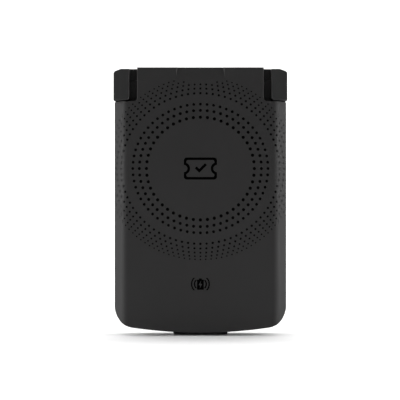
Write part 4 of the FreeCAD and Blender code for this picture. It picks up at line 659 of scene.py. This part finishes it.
def makeSpring(side):
    # A helix along x. Over the first and last turns the pitch falls to the wire's width.
    look = springLook
    node = "latch_spring_" + side
    low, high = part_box(node)
    length = high.x - low.x
    radius = (high.z - low.z - look["wire"]) / 2
    angle = np.linspace(0, fullTurn * look["turns"], int(look["turns"] * look["perTurn"]))
    knots = np.array([0, look["closedTurns"], look["turns"] - look["closedTurns"], look["turns"]]) * fullTurn
    span = length - look["wire"]
    closed = look["wire"] * look["closedPitch"]
    rises = [0, closed, span - closed, span]
    x = low.x + look["wire"] / 2 + np.interp(angle, knots, rises)
    y = (low.y + high.y) / 2 + radius * np.cos(angle)
    z = (low.z + high.z) / 2 + radius * np.sin(angle)
    halfWire = look["wire"] / 2
    shell = sweepTube(np.stack([x, y, z], -1), halfWire, halfWire, (1.0, 0.0, 0.0))[0]
    spring = addPiece(node + "_wound", node, shell, "pack")
    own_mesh(spring)


coilLook = {"turns": 12, "perTurn": 72, "endAngle": math.radians(82), "flatness": 0.96}


def makeCoil():
    # A flat spiral: the radius grows by one pitch a turn, and the section is an oval as wide as the pitch
    look = coilLook
    low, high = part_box("receive_coil")
    outer = (high.x - low.x) / 2
    inner = coilInner()
    pitch = (outer - inner) / (look["turns"] + 1)
    turned = np.linspace(0, fullTurn * look["turns"], look["turns"] * look["perTurn"] + 1)
    radius = inner + pitch / 2 + pitch * turned / fullTurn
    angle = look["endAngle"] + turned
    x = (low.x + high.x) / 2 + radius * np.cos(angle)
    z = (low.z + high.z) / 2 + radius * np.sin(angle)
    y = np.full_like(x, (low.y + high.y) / 2)
    halfHigh = (high.y - low.y) / 2 * look["flatness"]
    shell, places = sweepTube(np.stack([x, y, z], -1), pitch / 2, halfHigh, (0.0, 1.0, 0.0))
    addPiece("receive_coil_wound", "receive_coil", shell, "pack", places)


def coilInner():
    # The coil's hole, from its CAD mesh: the smallest distance of a vertex from the coil's middle
    low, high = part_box("receive_coil")
    mesh = nodes["receive_coil"].data
    points = np.zeros(len(mesh.vertices) * 3)
    mesh.vertices.foreach_get("co", points)
    points = points.reshape(-1, 3)
    return float(np.hypot(points[:, 0] - (low.x + high.x) / 2, points[:, 2] - (low.z + high.z) / 2).min())


cellLook = {
    "terraceHeight": 3.0 * mm,
    "terraceInset": 0.6 * mm,
    "terraceMiddle": -4.9 * mm,
    "terraceHalf": 0.45 * mm,
    "terraceEdge": 0.3 * mm,
    "terraceCrown": 0.05 * mm,
    "terracePower": 40,
    "terraceReach": 6 * mm,
    "terraceRoot": 4,  # how far it starts inside the pouch, in terrace heights
    "edgeRadius": 1.1 * mm,
    "crown": 0.12 * mm,
    "fold": 0.35 * mm,
    "foldHalf": 0.3 * mm,
    "power": 26,
    "crownReach": 24 * mm,
}


def makeCell():
    # A pouch: crowned faces, round edges with a folded seam along the sides, and a flat terrace at the top
    look = cellLook
    low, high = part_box("cell")
    bodyHigh = (high.x, high.y, high.z - look["terraceHeight"])
    profile = edgeProfile((high.y - low.y) / 2, look["edgeRadius"], look["crown"], look["crownReach"])
    profile[:, 0] += look["fold"]
    foldHalf = look["foldHalf"]
    fold = np.array([
        [look["fold"], -2 * foldHalf],
        [0, -foldHalf / 2],
        [0, foldHalf / 2],
        [look["fold"], 2 * foldHalf],
    ])
    rows = len(profile) // 2
    pouch = roundedSlab(low, bodyHigh, look["power"], np.concatenate([profile[:rows], fold, profile[rows:]]))
    inset, middle, half = look["terraceInset"], look["terraceMiddle"], look["terraceHalf"]
    terraceLow = (low.x + inset, middle - half, bodyHigh[2] - look["terraceRoot"] * look["terraceHeight"])
    terraceHigh = (high.x - inset, middle + half, high.z)
    terraceProfile = edgeProfile(half, look["terraceEdge"], look["terraceCrown"], look["terraceReach"])
    terrace = roundedSlab(terraceLow, terraceHigh, look["terracePower"], terraceProfile)
    addPiece("cell_pouch_body", "cell", joinShells(pouch, terrace), "pack")


foamLook = {"edgeRadius": 0.22 * mm, "crown": 0.06 * mm, "power": 30, "crownReach": 20 * mm}


def makeFoamPad(node):
    # A thin pad: superelliptic outline, softly rounded edge, faces a little crowned
    low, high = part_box(node)
    look = foamLook
    profile = edgeProfile((high.y - low.y) / 2, look["edgeRadius"], look["crown"], look["crownReach"])
    pad = addPiece(node + "_pad", node, roundedSlab(low, high, look["power"], profile), "pack")


for side in ("left", "right"):
    makeSpring(side)
makeCoil()
makeCell()
for node in ("cell_foam_inner", "cell_foam_outer"):
    makeFoamPad(node)
print("new pieces ready")


# Studio

studio = {
    "cameraDistance": 500 * mm,  # from the outer face
    "pixelsPerMetre": 2203.0,  # at the outer face
    "pictureWidth": 400,
    "shiftX": -0.001,
    "shiftY": 0.0,
    "floorGap": 0.02 * mm,
    "floorHalf": 2.0,
    "coveRadius": 0.6,
    "backdropDistance": 1.3,
    "worldLevel": 0.18,  # what lights the object
    "skyLevel": 1.0,  # what shows beyond the backdrop
    "paperLevel": 0.92,
}

lights = {
    # name: place, target, size, power
    "sideLeft": ((-0.62, -0.10, 0.12), (0, 0, 0), (0.3, 0.7), 4.1),
    "sideRight": ((0.62, -0.10, 0.12), (0, 0, 0), (0.3, 0.7), 4.1),
    "frontFill": ((0.0, -1.4, 1.0), (0, 0, 0), (0.8, 0.4), 2.0),
    "backdrop": ((0.0, 0.25, 1.1), (0, 1.3, 0.2), (1.6, 0.5), 24.0),
}


def makeCamera():
    data = bpy.data.cameras.new("camera")
    data.sensor_width = 36.0
    seenWidth = studio["pictureWidth"] / studio["pixelsPerMetre"]
    data.lens = data.sensor_width * studio["cameraDistance"] / seenWidth
    data.shift_x = studio["shiftX"]
    data.shift_y = studio["shiftY"]
    data.clip_start = 0.01
    camera = bpy.data.objects.new("camera", data)
    camera.location = (0, coverLow.y - studio["cameraDistance"], 0)
    camera.rotation_euler = (math.pi / 2, 0, 0)
    bpy.context.collection.objects.link(camera)
    bpy.context.scene.camera = camera


def makeLight(name, location, target, size, power):
    data = bpy.data.lights.new(name, "AREA")
    data.shape = "RECTANGLE"
    data.size, data.size_y = size
    data.energy = power
    light = bpy.data.objects.new(name, data)
    light.location = location
    light.rotation_euler = (Vector(target) - Vector(location)).to_track_quat("-Z", "Y").to_euler()
    bpy.context.collection.objects.link(light)


def makeFloor():
    # A profile carried along x: flat floor, a quarter circle, then the upright backdrop
    half = studio["floorHalf"]
    radius = studio["coveRadius"]
    back = studio["backdropDistance"]
    low = cadBox[0].z - studio["floorGap"]
    turn = np.linspace(-math.pi / 2, 0, 33)
    arc = np.stack([back - radius + radius * np.cos(turn), low + radius + radius * np.sin(turn)], -1)
    profile = np.concatenate([[[-half, low]], arc, [[back, low + half]]])
    count = len(profile)
    sides = np.repeat([-half, half], count)
    vertices = np.column_stack([sides, np.tile(profile, (2, 1))])
    i = np.arange(count - 1)
    faces = np.stack([i, i + count, i + count + 1, i + 1], -1)
    mesh = bpy.data.meshes.new("floor")
    mesh.from_pydata(vertices, [], faces.tolist())
    mesh.polygons.foreach_set("use_smooth", np.ones(count - 1, bool))
    floor = bpy.data.objects.new("floor", mesh)
    bpy.context.collection.objects.link(floor)
    material, tree, shader = newMaterial("palePaper", Roughness=0.9)
    fibre = noise(tree, objectPoint(tree), 200.0, 3.0)
    level = studio["paperLevel"]
    feed(tree, shader["Base Color"], mixColours(tree, fibre, grey(level * 0.99), grey(level)))
    mesh.materials.append(material)


def makeWorld():
    world = bpy.data.worlds.new("studio")
    world.use_nodes = True
    tree = world.node_tree
    background = tree.nodes["Background"]
    background.inputs["Color"].default_value = grey(1.0)
    seen = add(tree, "ShaderNodeLightPath").outputs["Is Camera Ray"]
    feed(tree, background.inputs["Strength"], mixValues(tree, seen, studio["worldLevel"], studio["skyLevel"]))
    bpy.context.scene.world = world


makeCamera()
makeFloor()
makeWorld()
for name, setting in lights.items():
    makeLight(name, *setting)
bpy.context.scene.view_settings.view_transform = "Standard"
print("studio ready")
